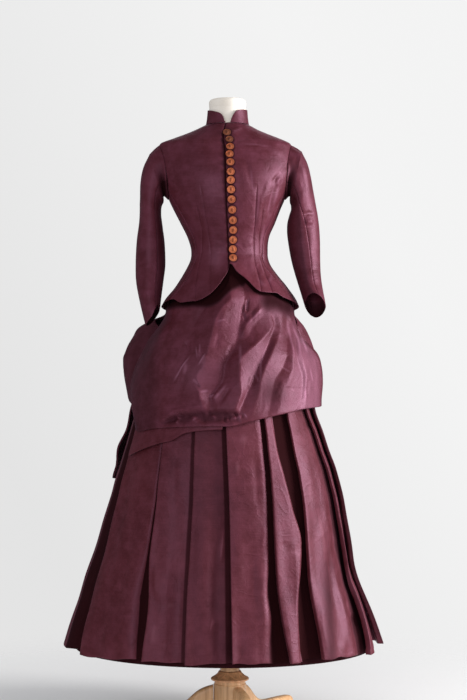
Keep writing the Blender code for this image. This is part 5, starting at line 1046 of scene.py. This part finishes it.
# ------------------------------------------------------------------ the overskirt
def make_apron():
    hem, left, right = along(APRON_HEM), along(APRON_LEFT), along(APRON_RIGHT)
    share, u = spread(150, 0.03)[:, None], spread(266, 0.016)[None, :]
    z = np.full((150, 266), 0.9)
    for _ in range(10):
        turn = left(z) + (right(z) - left(z)) * u
        low = hem(turn)
        z = low + (OVERSKIRT_TOP_Z - low) * share
    p, n = surface(APRON, turn, z)
    x, arc = p[..., 0], turn * APRON_ARC
    ahead = ease((78 - np.abs(turn)) / 20)
    lift = (folds(x, z, APRON_FOLDS) + relief(x, z, APRON_LINES)) * ahead + folds(arc, z, APRON_SIDE_FOLDS)
    lip = along(APRON_LIP)(x)
    hollow = (ease((lip - z) / 0.014) * ease((z - low - 0.003) / 0.016)
              * ease((x + 0.182) / 0.02) * ease((0.040 - x) / 0.03) * ahead)
    speckle = crinkles(x, z, 51, 110, (-176, 748, 36, 806), 26, 6.0, 62, 45)
    lift += (speckle - 0.0070) * hollow
    lift += crinkles(arc, z, 52, 150, (-350, 780, 400, 1130), 60, 0.6, 72, 40)
    lift += crinkles(x, z, 53, 60, (20, 800, 230, 1070), 60, 1.0, 66, 18) * ahead
    # it lies in under the basque's hem, deepest below the front point
    hem_near = hem_z(np.abs(turn) * np.where(turn < -90, 1, np.sign(turn)))
    cover = ease((z - hem_near + 0.010 + 0.022 * bell(x, -0.012, 0.034)) / 0.016)
    lift = np.clip(lift, -0.0115, 0.016) * (1 - cover) - 0.0045 * cover
    lift *= ease((1.150 - z) / 0.03)
    # painted shade beneath the hem of the basque, in the crushed hollow, in two patches and along the -X edge
    notch = along(APRON_NOTCH)(x)
    shade = (np.maximum(ease((z - notch) / 0.016), ease((z - hem_near + 0.008) / 0.009)) + hollow * 0.35
             + 0.08 * patch(x, z, 0.098, 0.990, 0.030, 0.075))
    beside_point = 0.72 * ease((x - 0.066) / 0.03) * ease((0.164 - x) / 0.02) * ease((z - hem_near + 0.056) / 0.038)
    shade += 0.30 * patch(x, z, 0.100, 0.840, 0.030, 0.034) + beside_point + 0.22 * ease((-0.155 - x) / 0.04)
    # painted highlights on the +X hip, in a patch on -X, along the creases and on the crinkles in the hollow
    lit_hip = 0.34 * ease((x - 0.138) / 0.045) * ease((1.075 - z) / 0.04) * ease((82 - turn) / 14)
    shade -= lit_hip + 0.16 * patch(x, z, -0.075, 0.880, 0.040, 0.040)
    shade -= glints(x, z, APRON_GLINTS) + np.clip(speckle / 0.006, 0, 1) * hollow * 0.75
    lift -= turned_in(p, "lrb", 0.0012)
    cloth("apron_drape", ["apron_front"], raised(p, n, lift), n, "dress_taffeta",
          ["skirt_waistband", "underskirt_front"], shade=shade)
    # the facing band that shows under the drawn-up hem
    low_edge = along(BAND_BOTTOM)
    u, v = (-66.0 + 62.0 * spread(90, 0.02))[None, :], spread(22, 0.1)[:, None]
    low, high = low_edge(u), hem(u) + 0.012
    z, turn = low + (high - low) * v, u + 0 * v
    p, n = surface(APRON, turn, z)
    lift = (-0.0065 + crinkles(p[..., 0], z, 55, 40, (-230, 690, -10, 780), 40, 0.7, 10, 25)
            - turned_in(p, "lrb", 0.0009))
    cloth("apron_facing", ["apron_band"], raised(p, n, lift), n, "skirt_taffeta",
          ["apron_drape"])


def back_drape(name, node, table, left, right, hem, top, size, at, fold_table, seed, rests_on, curl):
    share, u = spread(size[0], 0.04)[:, None], spread(size[1], 0.02)[None, :]
    z = np.full(size, 0.9)
    for _ in range(10):
        turn = right(z) + (left(z) - right(z)) * u
        z = hem(turn) + (top - hem(turn)) * share
    p, n = surface(table, turn, z)
    arc = (turn - at) * BACK_ARC
    lift = folds(arc, z, fold_table) * ease((1.165 - z) / 0.05) * ease((z - hem(turn) + 0.03) / 0.04)
    lift += crinkles(arc, z, seed, 260, (-560, 560, 560, 1150), 70, 1.3, 75, 35)
    lift = np.clip(lift, -0.011, 0.011) * np.where(z > 1.03, ease((1.17 - z) / 0.15) * 0.7 + 0.05, 1.0)
    edge = ease(np.minimum(u, 1 - u) / 0.03)
    lift = lift * edge - turned_in(p, "lr", 0.0012) - curl * np.clip(1 - (z - hem(turn)) / 0.014, 0, 1) ** 2
    # painted shade on the far side, beneath the basque's hem and in the folds' valleys
    far_side = 0.24 * ease((turn - 226) / 20) * (p[..., 0] < 0)
    under_hem = 0.5 * ease((z - hem_z(np.minimum(turn, 360 - turn)) + 0.012) / 0.012) * (z > 1.0)
    shade = np.clip(-lift / 0.010, 0, 1) ** 1.5 * 0.6 + far_side + under_hem
    cloth(name, [node], raised(p, n, lift), n, "dress_taffeta", rests_on, shade=shade)


def make_back_drapery():
    back_drape("bustle_pouf", "back_pouf", POUF, along(POUF_LEFT), along(POUF_RIGHT), along(POUF_HEM), OVERSKIRT_TOP_Z,
               (104, 220), 180.0, POUF_FOLDS, 61,
               ["skirt_waistband", "underskirt_back"], 0.006)
    back_drape("bustle_tail", "back_tail", TAIL, lambda z: 279.0 + 0 * z, lambda z: 104.0 + 0 * z, along(TAIL_HEM),
               0.868, (84, 190), 180.0, TAIL_FOLDS, 62,
               ["underskirt_back"], 0.0015)


# ------------------------------------------------------------------ the form and its stand
def make_form():
    phi = np.arange(64) * 360.0 / 64
    # counter-clockwise seen from above, starting at +X, as the circle's points lie
    turn = 90.0 + phi
    heights = np.concatenate([[0.980, 0.981, 0.984], np.linspace(0.992, 1.5400, 70), [1.5450, FORM_NECK_Z]])
    lofted("form_body", ["form_torso"], [ring_point(FORM, turn, np.full(64, z)) for z in heights], "cream_jersey",
           50)
    neck = ring_point(FORM, turn, np.full(64, FORM_NECK_Z))
    middle = neck.mean(0)
    # columns: height, share of the neck's half widths
    cap = ((1.5471, 0.999), (1.5472, 1.001), (1.5480, 1.003), (1.5520, 1.012), (1.5580, 1.018), (1.5610, 1.010),
           (1.5635, 0.985), (1.5656, 0.940), (1.5672, 0.870), (1.5684, 0.770),
           (1.5692, 0.640), (1.5697, 0.450), (1.5700, 0.240), (1.5700, 0.050))
    lofted("form_cap", ["form_neck_cap"], [(neck - middle) * [s, s, 0] + [middle[0], middle[1], z] for z, s in cap],
           "cream_jersey", 50)


def make_stand():
    phi = np.arange(48) * math.tau / 48
    circle = np.stack([np.cos(phi), np.sin(phi), 0 * phi], -1)
    # columns: radius, height of the turned pieces
    pole = ((0.0235, 0.1405), (0.0245, 0.1415), (0.0245, 0.30), (0.0245, 0.60), (0.0245, 0.9780), (0.0235, 0.9790))
    cone = ((0.0460, 0.1180), (0.0472, 0.1188), (0.0477, 0.1205), (0.0474, 0.1222), (0.0458, 0.1236), (0.0430, 0.1248),
            (0.0405, 0.1264), (0.0372, 0.1286), (0.0345, 0.1310), (0.0316, 0.1338),
            (0.0296, 0.1362), (0.0284, 0.1384), (0.0278, 0.1396), (0.0270, 0.1400))
    hub = ((0.0320, 0.0560), (0.0345, 0.0568), (0.0385, 0.0592), (0.0400, 0.0620), (0.0405, 0.0640), (0.0405, 0.1060),
           (0.0403, 0.1080), (0.0390, 0.1095), (0.0386, 0.1115), (0.0386, 0.1168), (0.0380, 0.1175))
    for name, node, profile, finish, slot in (("pole", "stand_pole", pole, "pale_wood", "pole_wood"),
                                              ("turned_cone", "stand_cone", cone, "dark_wood", "dark_wood"),
                                              ("hub", "stand_hub", hub, "pale_wood", "pole_wood")):
        lofted(name, [node], [circle * r + [0, 0, z] for r, z in profile], finish, 30)
    # columns: distance from the axis, height of the leg's middle, half height across it
    sweep = ((0.0412, 0.0820, 0.0235), (0.0660, 0.0710, 0.0240), (0.0920, 0.0510, 0.0220), (0.1200, 0.0350, 0.0185),
             (0.1500, 0.0265, 0.0160), (0.1850, 0.0220, 0.0145), (0.2250, 0.0200, 0.0135),
             (0.2600, 0.0165, 0.0148), (0.2850, 0.0150, 0.0142), (0.3000, 0.0142, 0.0134), (0.3060, 0.0125, 0.0112),
             (0.3080, 0.0110, 0.0090))
    r, z, half = np.array(sweep).T
    at = np.linspace(0, len(sweep) - 1, 46)
    k = np.arange(len(sweep), dtype=float)
    r, z, half = smooth(k, r, at), smooth(k, z, at), smooth(k, half, at)
    tilt = np.stack([np.gradient(r), np.gradient(z)], -1)
    tilt /= np.linalg.norm(tilt, axis=1, keepdims=True)
    tilt[0] = (1, 0)
    a = np.arange(24) * math.tau / 24
    corner_w, corner_s = np.sign(np.cos(a)) * np.abs(np.cos(a)) ** 0.55, np.sign(np.sin(a)) * np.abs(np.sin(a)) ** 0.55
    for number, turn in enumerate((30.0, 150.0, 270.0)):
        way = np.array([math.sin(math.radians(turn)), -math.cos(math.radians(turn)), 0.0])
        across = np.array([-way[1], way[0], 0.0])
        rings = []
        for j in range(len(at)):
            reach = r[j] - tilt[j, 1] * half[j] * corner_s
            height = np.maximum(z[j] + tilt[j, 0] * half[j] * corner_s, 0.0)
            rings.append(way * reach[:, None] + across * (0.0130 * corner_w)[:, None] + np.array([0, 0, 1.0])
                * height[:, None])
        lofted("leg_%d" % (number + 1), ["stand_leg_%d" % (number + 1)], rings, "pale_wood", 40)


# ------------------------------------------------------------------ finishes
class Link:
    """An output socket of a material's nodes; arithmetic on it adds Math nodes."""

    def __init__(self, tree, socket):
        self.tree, self.socket = tree, socket

    def maths(self, how, other=0.0, swapped=False):
        pair = (other, self) if swapped else (self, other)
        return node(self.tree, "ShaderNodeMath", {"operation": how}, {0: pair[0], 1: pair[1]})

    def __add__(self, other): return self.maths("ADD", other)
    def __sub__(self, other): return self.maths("SUBTRACT", other)
    def __rsub__(self, other): return self.maths("SUBTRACT", other, True)
    def __mul__(self, other): return self.maths("MULTIPLY", other)
    def __pow__(self, other): return self.maths("POWER", other)
    def __abs__(self): return self.maths("ABSOLUTE")
    __radd__, __rmul__ = __add__, __mul__


def node(tree, kind, settings=None, values=None, out=0):
    """One shader node: its settings first, then the values or links of its sockets; returns one output."""
    made = tree.nodes.new(kind)
    for key, value in (settings or {}).items():
        setattr(made, key, value)
    for key, value in (values or {}).items():
        if isinstance(value, Link):
            tree.links.new(value.socket, made.inputs[key])
        elif isinstance(value, (tuple, list)) and len(value) == 3 and made.inputs[key].type == "RGBA":
            made.inputs[key].default_value = (*value, 1.0)
        else:
            made.inputs[key].default_value = value
    return Link(tree, made.outputs[out])


def noise(tree, place, scale, detail, **more):
    return node(tree, "ShaderNodeTexNoise", {}, {"Vector": place, "Scale": scale, "Detail": detail, **more})


def scaled(tree, place, *scale):
    return node(tree, "ShaderNodeMapping", {}, {"Vector": place, "Scale": scale})


def between(tree, value, low, high, **settings):
    """The value's place between low and high, from 0 to 1."""
    return node(tree, "ShaderNodeMapRange", settings, {0: value, 1: low, 2: high})


def bump(tree, strength, distance, height, **more):
    return node(tree, "ShaderNodeBump", {}, {"Strength": strength, "Distance": distance, "Height": height, **more})


def start_finish(name, **shader):
    """A material with its Principled shader; names given with _ for a space are set as plain numbers on its sockets."""
    material = bpy.data.materials.new(name)
    material.use_nodes = True
    tree = material.node_tree
    principled = tree.nodes["Principled BSDF"]
    for key, value in shader.items():
        socket = principled.inputs[key.replace("_", " ")]
        socket.default_value = (*value, 1.0) if socket.type == "RGBA" else value
    return material, tree, principled


def feed(tree, principled, **links):
    for key, link in links.items():
        tree.links.new(link.socket, principled.inputs[key.replace("_", " ")])


def mix(tree, factor, a, b):
    return node(tree, "ShaderNodeMix", {"data_type": "RGBA"}, {0: factor, 6: a, 7: b}, 2)


def taffeta(name, deep, middle, bloom, bright, crush):
    """Shot silk taffeta: plum with a lilac bloom, level slubs, a fine plain weave and small sharp crush marks; painted
    shade and painted highlights come from the shade attribute.
    """
    material, tree, shader = start_finish(name, Roughness=0.4, Specular_IOR_Level=0.62,
        Specular_Tint=(1.0, 0.50, 0.76), Sheen_Weight=0.08, Sheen_Roughness=0.30,
                                          Sheen_Tint=(0.95, 0.48, 0.72))
    place = node(tree, "ShaderNodeTexCoord", out=3)
    thread = node(tree, "ShaderNodeUVMap", {"uv_map": "cloth"})
    broad = noise(tree, place, 4.5, 3.0, Roughness=0.55)
    mottle = noise(tree, place, 34.0, 4.0, Roughness=0.62)
    slubs = noise(tree, scaled(tree, thread, 22.0, 620.0, 1.0), 1.0, 2.0)
    warp = node(tree, "ShaderNodeTexWave", {"wave_type": "BANDS", "bands_direction": "X"},
                {"Vector": thread, "Scale": 520.0, "Distortion": 0.6})
    weft = node(tree, "ShaderNodeTexWave", {"wave_type": "BANDS", "bands_direction": "Y"},
                {"Vector": thread, "Scale": 520.0, "Distortion": 0.6})
    ridges = 1.0 - abs(noise(tree, place, 17.0, 2.5, Roughness=0.5, Distortion=0.7) * 2.0 - 1.0)
    fine_ridges = 1.0 - abs(noise(tree, place, 46.0, 2.0, Distortion=0.5) * 2.0 - 1.0)
    creases = ridges ** 9.0 + fine_ridges ** 8.0 * 0.45
    colour = mix(tree, between(tree, broad + mottle * 0.35, 0.42, 0.95), deep, middle)
    colour = mix(tree, between(tree, mottle + slubs * 0.5, 0.62, 1.15) * 0.55, colour, bloom)
    # the shade attribute: above 0 it paints shade, below 0 it paints highlights
    shade = node(tree, "ShaderNodeAttribute", {"attribute_name": "shade"}, out=2)
    dark, painted_highlight = (abs(shade) + shade) * 0.5, (abs(shade) - shade) * 0.5
    colour = mix(tree, dark * 0.94, colour, (deep[0] * 0.20, deep[1] * 0.24, deep[2] * 0.20))
    colour = mix(tree, painted_highlight, colour, bright)
    large = bump(tree, 1.0, 0.00032 * crush, creases + mottle * 0.4)
    small = bump(tree, 0.5, 0.00022, slubs + (warp + weft) * 0.16, Normal=large)
    feed(tree, shader, Base_Color=colour, Normal=small, Roughness=0.38 + mottle * 0.18 + slubs * 0.05 + dark * 0.6)
    # where shade is painted deep, a matt dark shader takes the gloss away
    matt = node(tree, "ShaderNodeBsdfPrincipled", {},
                {"Base Color": (deep[0] * 0.24, deep[1] * 0.32, deep[2] * 0.26), "Roughness": 1.0,
                 "Specular IOR Level": 0.0})
    blend = node(tree, "ShaderNodeMixShader", {}, {0: dark * 0.88, 1: Link(tree, shader.outputs[0]), 2: matt})
    tree.links.new(blend.socket, tree.nodes["Material Output"].inputs["Surface"])
    return material


def metal(name, light, dark, rough):
    """Stamped copper-coloured metal, with dark patina in its grooves and painted shade round the rim's edge."""
    material, tree, shader = start_finish(name, Metallic=0.7, Roughness=rough)
    place = node(tree, "ShaderNodeTexCoord", out=3)
    cloud = noise(tree, place, 260.0, 3.0)
    hollow = node(tree, "ShaderNodeAttribute", {"attribute_name": "hollow"}, out=2)
    colour = mix(tree, between(tree, cloud, 0.38, 0.72), light, tuple(c * 0.72 for c in light))
    colour = mix(tree, hollow, colour, dark)
    bumps = bump(tree, 0.35, 0.0002, cloud)
    feed(tree, shader, Base_Color=colour, Normal=bumps, Roughness=rough + cloud * 0.12 + hollow * 0.2)
    return material


def jersey(name, colour):
    """Smooth cream jersey stretched over padding, with a fine knit."""
    material, tree, shader = start_finish(name, Roughness=0.85, Sheen_Weight=0.15, Sheen_Tint=(1.0, 0.95, 0.88))
    place = node(tree, "ShaderNodeTexCoord", out=3)
    knit = noise(tree, scaled(tree, place, 900.0, 900.0, 420.0), 1.0, 1.0)
    cloud = noise(tree, place, 22.0, 3.0)
    tone = mix(tree, between(tree, cloud, 0.35, 0.7), colour, tuple(c * f for c, f in zip(colour, (0.95, 0.92, 0.88))))
    bumps = bump(tree, 0.4, 0.0003, knit + cloud * 0.6)
    feed(tree, shader, Base_Color=tone, Normal=bumps, Roughness=0.8 + knit * 0.1)
    return material


def wood(name, light, dark, rough, ring_scale):
    """Varnished turned wood: grain along the height, darker pores and a few broad figures."""
    material, tree, shader = start_finish(name, Roughness=rough, Coat_Weight=0.25, Coat_Roughness=0.2)
    place = node(tree, "ShaderNodeTexCoord", out=3)
    stretched = scaled(tree, place, ring_scale, ring_scale, ring_scale * 0.07)
    figure = noise(tree, stretched, 1.0, 4.0, Roughness=0.6, Distortion=1.2)
    pores = noise(tree, scaled(tree, place, 900.0, 900.0, 26.0), 1.0, 2.0)
    grain = between(tree, figure, 0.35, 0.68)
    colour = mix(tree, grain, light, dark)
    colour = mix(tree, between(tree, pores, 0.60, 0.74) * 0.5, colour, tuple(c * 0.45 for c in dark))
    bumps = bump(tree, 0.4, 0.0003, pores * -1.0 + figure * 0.3)
    feed(tree, shader, Base_Color=colour, Normal=bumps, Roughness=rough + grain * 0.1)
    return material


def studio_floor(name, pale):
    """A pale floor that runs into the pale surroundings."""
    material, tree, shader = start_finish(name, Roughness=0.9, Specular_IOR_Level=0.1)
    place = node(tree, "ShaderNodeTexCoord", out=3)
    far = node(tree, "ShaderNodeVectorMath", {"operation": "LENGTH"}, {0: scaled(tree, place, 1.0, 1.0, 0.0)}, 1)
    soft = noise(tree, place, 1.5, 2.0)
    feed(tree, shader, Base_Color=mix(tree, soft, tuple(c * 0.95 for c in pale), tuple(c * 0.93 for c in pale)))
    blend = node(tree, "ShaderNodeMixShader", {}, {0: between(tree, far, 0.5, 1.5, interpolation_type="SMOOTHSTEP"),
                                                  1: Link(tree, shader.outputs[0]),
                                                  2: node(tree, "ShaderNodeBsdfTransparent")})
    tree.links.new(blend.socket, tree.nodes["Material Output"].inputs["Surface"])
    return material


FINISHES = {}


# ------------------------------------------------------------------ what a user may change
def colour_property(name, description, default):
    return FloatVectorProperty(name=name, description=description, subtype="COLOR", size=3, default=default, min=0,
        max=1)


class DressColours(bpy.types.PropertyGroup):
    deep: colour_property("Deep plum", "Colour of the silk where it lies in shade", (0.068, 0.0104, 0.0142))
    middle: colour_property("Plum", "Main colour of the silk", (0.112, 0.0182, 0.0255))
    bloom: colour_property("Lilac bloom", "Colour of the silk's cross threads", (0.180, 0.045, 0.080))
    # painted_highlight is the colour of the painted highlights on the silk: along creases and on sides that face the
    # light
    painted_highlight: colour_property("Worn silk", "Colour of the silk where sharp creases have whitened it", (0.37, 0.150, 0.230))
    copper: colour_property("Copper", "Colour of the metal buttons", (0.88, 0.27, 0.12))
    jersey: colour_property("Cream jersey", "Cover of the dress form", (1.0, 0.94, 0.86))
    pale: colour_property("Pale studio", "Floor and surroundings", (0.90, 0.90, 0.90))


class DressSizes(bpy.types.PropertyGroup):
    button_radius: FloatProperty(name="Button radius", description="Outer radius of a button", default=0.0098,
        min=0.008, max=0.0105, unit="LENGTH")
    crush: FloatProperty(name="Crush", description="Strength of the silk's small crush marks", default=1.0, min=0,
        max=3)


class MakeFinishes(bpy.types.Operator):
    """Makes the silk, metal, jersey and wood finishes"""
    bl_idname, bl_label = "bustle_dress.finishes", "Finishes"

    def execute(self, context):
        tint, sizes = context.scene.dress_colours, context.scene.dress_sizes
        deep, middle, bloom, painted_highlight = tuple(tint.deep), tuple(tint.middle), tuple(tint.bloom), tuple(tint.painted_highlight)
        FINISHES["dress_taffeta"] = taffeta("plum_taffeta", deep, middle, bloom, painted_highlight, sizes.crush)
        wine = lambda c: (c[0] * 0.98, c[1] * 0.92, c[2] * 0.80)
        FINISHES["skirt_taffeta"] = taffeta("wine_taffeta", wine(deep), wine(middle), wine(bloom), wine(painted_highlight),
            sizes.crush * 1.1)
        FINISHES["copper_button"] = metal("copper_button", tuple(tint.copper), (0.16, 0.040, 0.020), 0.46)
        FINISHES["dull_button"] = metal("dull_copper_button",
            tuple(c * f for c, f in zip(tint.copper, (0.58, 0.66, 0.78))), (0.09, 0.035, 0.025), 0.52)
        FINISHES["cream_jersey"] = jersey("cream_jersey", tuple(tint.jersey))
        FINISHES["pale_wood"] = wood("pale_wood", (0.82, 0.50, 0.26), (0.55, 0.29, 0.13), 0.36, 60.0)
        FINISHES["dark_wood"] = wood("dark_turned_wood", (0.92, 0.48, 0.23), (0.50, 0.23, 0.105), 0.34, 80.0)
        FINISHES["studio"] = studio_floor("studio_floor", tuple(tint.pale))
        return {"FINISHED"}


class MakeBodice(bpy.types.Operator):
    """Models the basque's eight panels with their darts and seams, and the stand collar"""
    bl_idname, bl_label = "bustle_dress.bodice", "Basque and collar"

    def execute(self, context):
        make_bodice()
        make_collar()
        return {"FINISHED"}


class MakeSleeves(bpy.types.Operator):
    """Models the two-piece sleeves with their cuffs"""
    bl_idname, bl_label = "bustle_dress.sleeves", "Sleeves"

    def execute(self, context):
        make_sleeves()
        return {"FINISHED"}


class MakeButtons(bpy.types.Operator):
    """Models one domed metal button and sets its fifteen copies on the front"""
    bl_idname, bl_label = "bustle_dress.buttons", "Buttons"

    def execute(self, context):
        if len(make_buttons(context.scene.dress_sizes.button_radius)) != len(BUTTONS):
            raise RuntimeError("a button is missing")
        return {"FINISHED"}


class MakeSkirt(bpy.types.Operator):
    """Models the plain underskirt with its waistband and the knife-pleated skirt over it"""
    bl_idname, bl_label = "bustle_dress.skirt", "Underskirt and pleated skirt"

    def execute(self, context):
        make_foundation()
        make_flounce()
        return {"FINISHED"}


class MakeApron(bpy.types.Operator):
    """Models the draped apron overskirt and its facing band"""
    bl_idname, bl_label = "bustle_dress.apron", "Apron overskirt"

    def execute(self, context):
        make_apron()
        return {"FINISHED"}


class MakeBackDrapery(bpy.types.Operator):
    """Models the bustle's pouf and the tail below it"""
    bl_idname, bl_label = "bustle_dress.back_drapery", "Back drapery"

    def execute(self, context):
        make_back_drapery()
        return {"FINISHED"}


class MakeForm(bpy.types.Operator):
    """Models the limbless form, its neck cap and the stand"""
    bl_idname, bl_label = "bustle_dress.form", "Dress form and stand"

    def execute(self, context):
        make_form()
        make_stand()
        return {"FINISHED"}


# columns: name, place, size, power, colour of each soft light
LIGHTS = (("key", (3.9, -0.8, 1.7), (1.7, 2.0), 222.0, (1.0, 0.98, 0.97)),
          ("fill", (-1.0, -4.4, 1.6), (2.4, 2.4), 42.0, (0.98, 0.99, 1.0)),
          ("back_light", (0.4, 3.6, 3.4), (2.6, 2.6), 16.0, (1.0, 1.0, 1.0)))
LIT_POINT = (0, 0, 0.85)
CAMERA_LENS, CAMERA_SENSOR, CAMERA_ASIDE, CAMERA_AWAY, CAMERA_Z = 88.46, 36.0, 0.009, 4.3, 0.9415


class MakeStage(bpy.types.Operator):
    """Sets the pale floor, the soft lights and the camera"""
    bl_idname, bl_label = "bustle_dress.stage", "Stage"

    def execute(self, context):
        scene, pale = context.scene, tuple(context.scene.dress_colours.pale)
        bpy.ops.object.select_all(action="DESELECT")
        bpy.ops.mesh.primitive_plane_add(size=60.0, location=(0, 0, 0))
        floor = bpy.context.active_object
        floor.name = "studio_floor"
        floor.data.materials.append(FINISHES["studio"])
        world = bpy.data.worlds.new("soft_studio")
        world.use_nodes = True
        tree = world.node_tree
        # the surroundings as the camera sees them are painted darker towards -X and the bottom; other rays get a grey
        # room light, darker for glossy rays
        seen = node(tree, "ShaderNodeLightPath", out=0)
        way = node(tree, "ShaderNodeSeparateXYZ", {}, {0: node(tree, "ShaderNodeTexCoord")})
        wall = mix(tree, between(tree, way + Link(tree, way.socket.node.outputs[2]) * 0.5, -0.16, 0.12),
                   tuple(c * 0.86 for c in pale), pale)
        back = tree.nodes["Background"]
        glossy = node(tree, "ShaderNodeLightPath", out=3)
        room = mix(tree, glossy, (0.49, 0.495, 0.51), (0.09, 0.075, 0.09))
        tree.links.new(mix(tree, seen, room, wall).socket, back.inputs["Color"])
        scene.world = world
        scene.view_settings.view_transform = "Standard"
        for name, place, size, energy, colour in LIGHTS:
            data = bpy.data.lights.new(name, "AREA")
            data.shape, data.size, data.size_y, data.energy, data.color = "RECTANGLE", size[0], size[1], energy, colour
            lamp = bpy.data.objects.new(name, data)
            scene.collection.objects.link(lamp)
            lamp.location = Vector(place)
            lamp.rotation_euler = (Vector(LIT_POINT) - lamp.location).to_track_quat("-Z", "Y").to_euler()
        data = bpy.data.cameras.new("camera")
        camera = bpy.data.objects.new("camera", data)
        scene.collection.objects.link(camera)
        data.lens, data.sensor_width, data.sensor_fit = CAMERA_LENS, CAMERA_SENSOR, "AUTO"
        camera.location = (AXIS[0] + CAMERA_ASIDE, AXIS[1] - CAMERA_AWAY, CAMERA_Z)
        camera.rotation_euler = (math.radians(90), 0, 0)
        scene.camera = camera
        return {"FINISHED"}


STEPS = (MakeFinishes, MakeBodice, MakeSleeves, MakeButtons, MakeSkirt, MakeApron, MakeBackDrapery, MakeForm, MakeStage)


class DressPanel(bpy.types.Panel):
    """Lists the dress's sizes, colours and pieces"""
    bl_idname, bl_label = "VIEW3D_PT_bustle_dress", "Bustle Dress"
    bl_space_type, bl_region_type, bl_category = "VIEW_3D", "UI", "Bustle Dress"

    def draw(self, context):
        for group in (context.scene.dress_sizes, context.scene.dress_colours):
            for name in group.bl_rna.properties.keys():
                if name not in ("rna_type", "name"):
                    self.layout.prop(group, name)
        for step in STEPS:
            self.layout.operator(step.bl_idname)


CLASSES = (DressColours, DressSizes, *STEPS, DressPanel)


def register():
    for cls in CLASSES:
        bpy.utils.register_class(cls)
    bpy.types.Scene.dress_colours = PointerProperty(type=DressColours)
    bpy.types.Scene.dress_sizes = PointerProperty(type=DressSizes)


def unregister():
    del bpy.types.Scene.dress_sizes
    del bpy.types.Scene.dress_colours
    for cls in reversed(CLASSES):
        bpy.utils.unregister_class(cls)


def main():
    register()
    for step in STEPS:
        group, name = step.bl_idname.split(".")
        getattr(getattr(bpy.ops, group), name)()


if __name__ == "__main__":
    main()
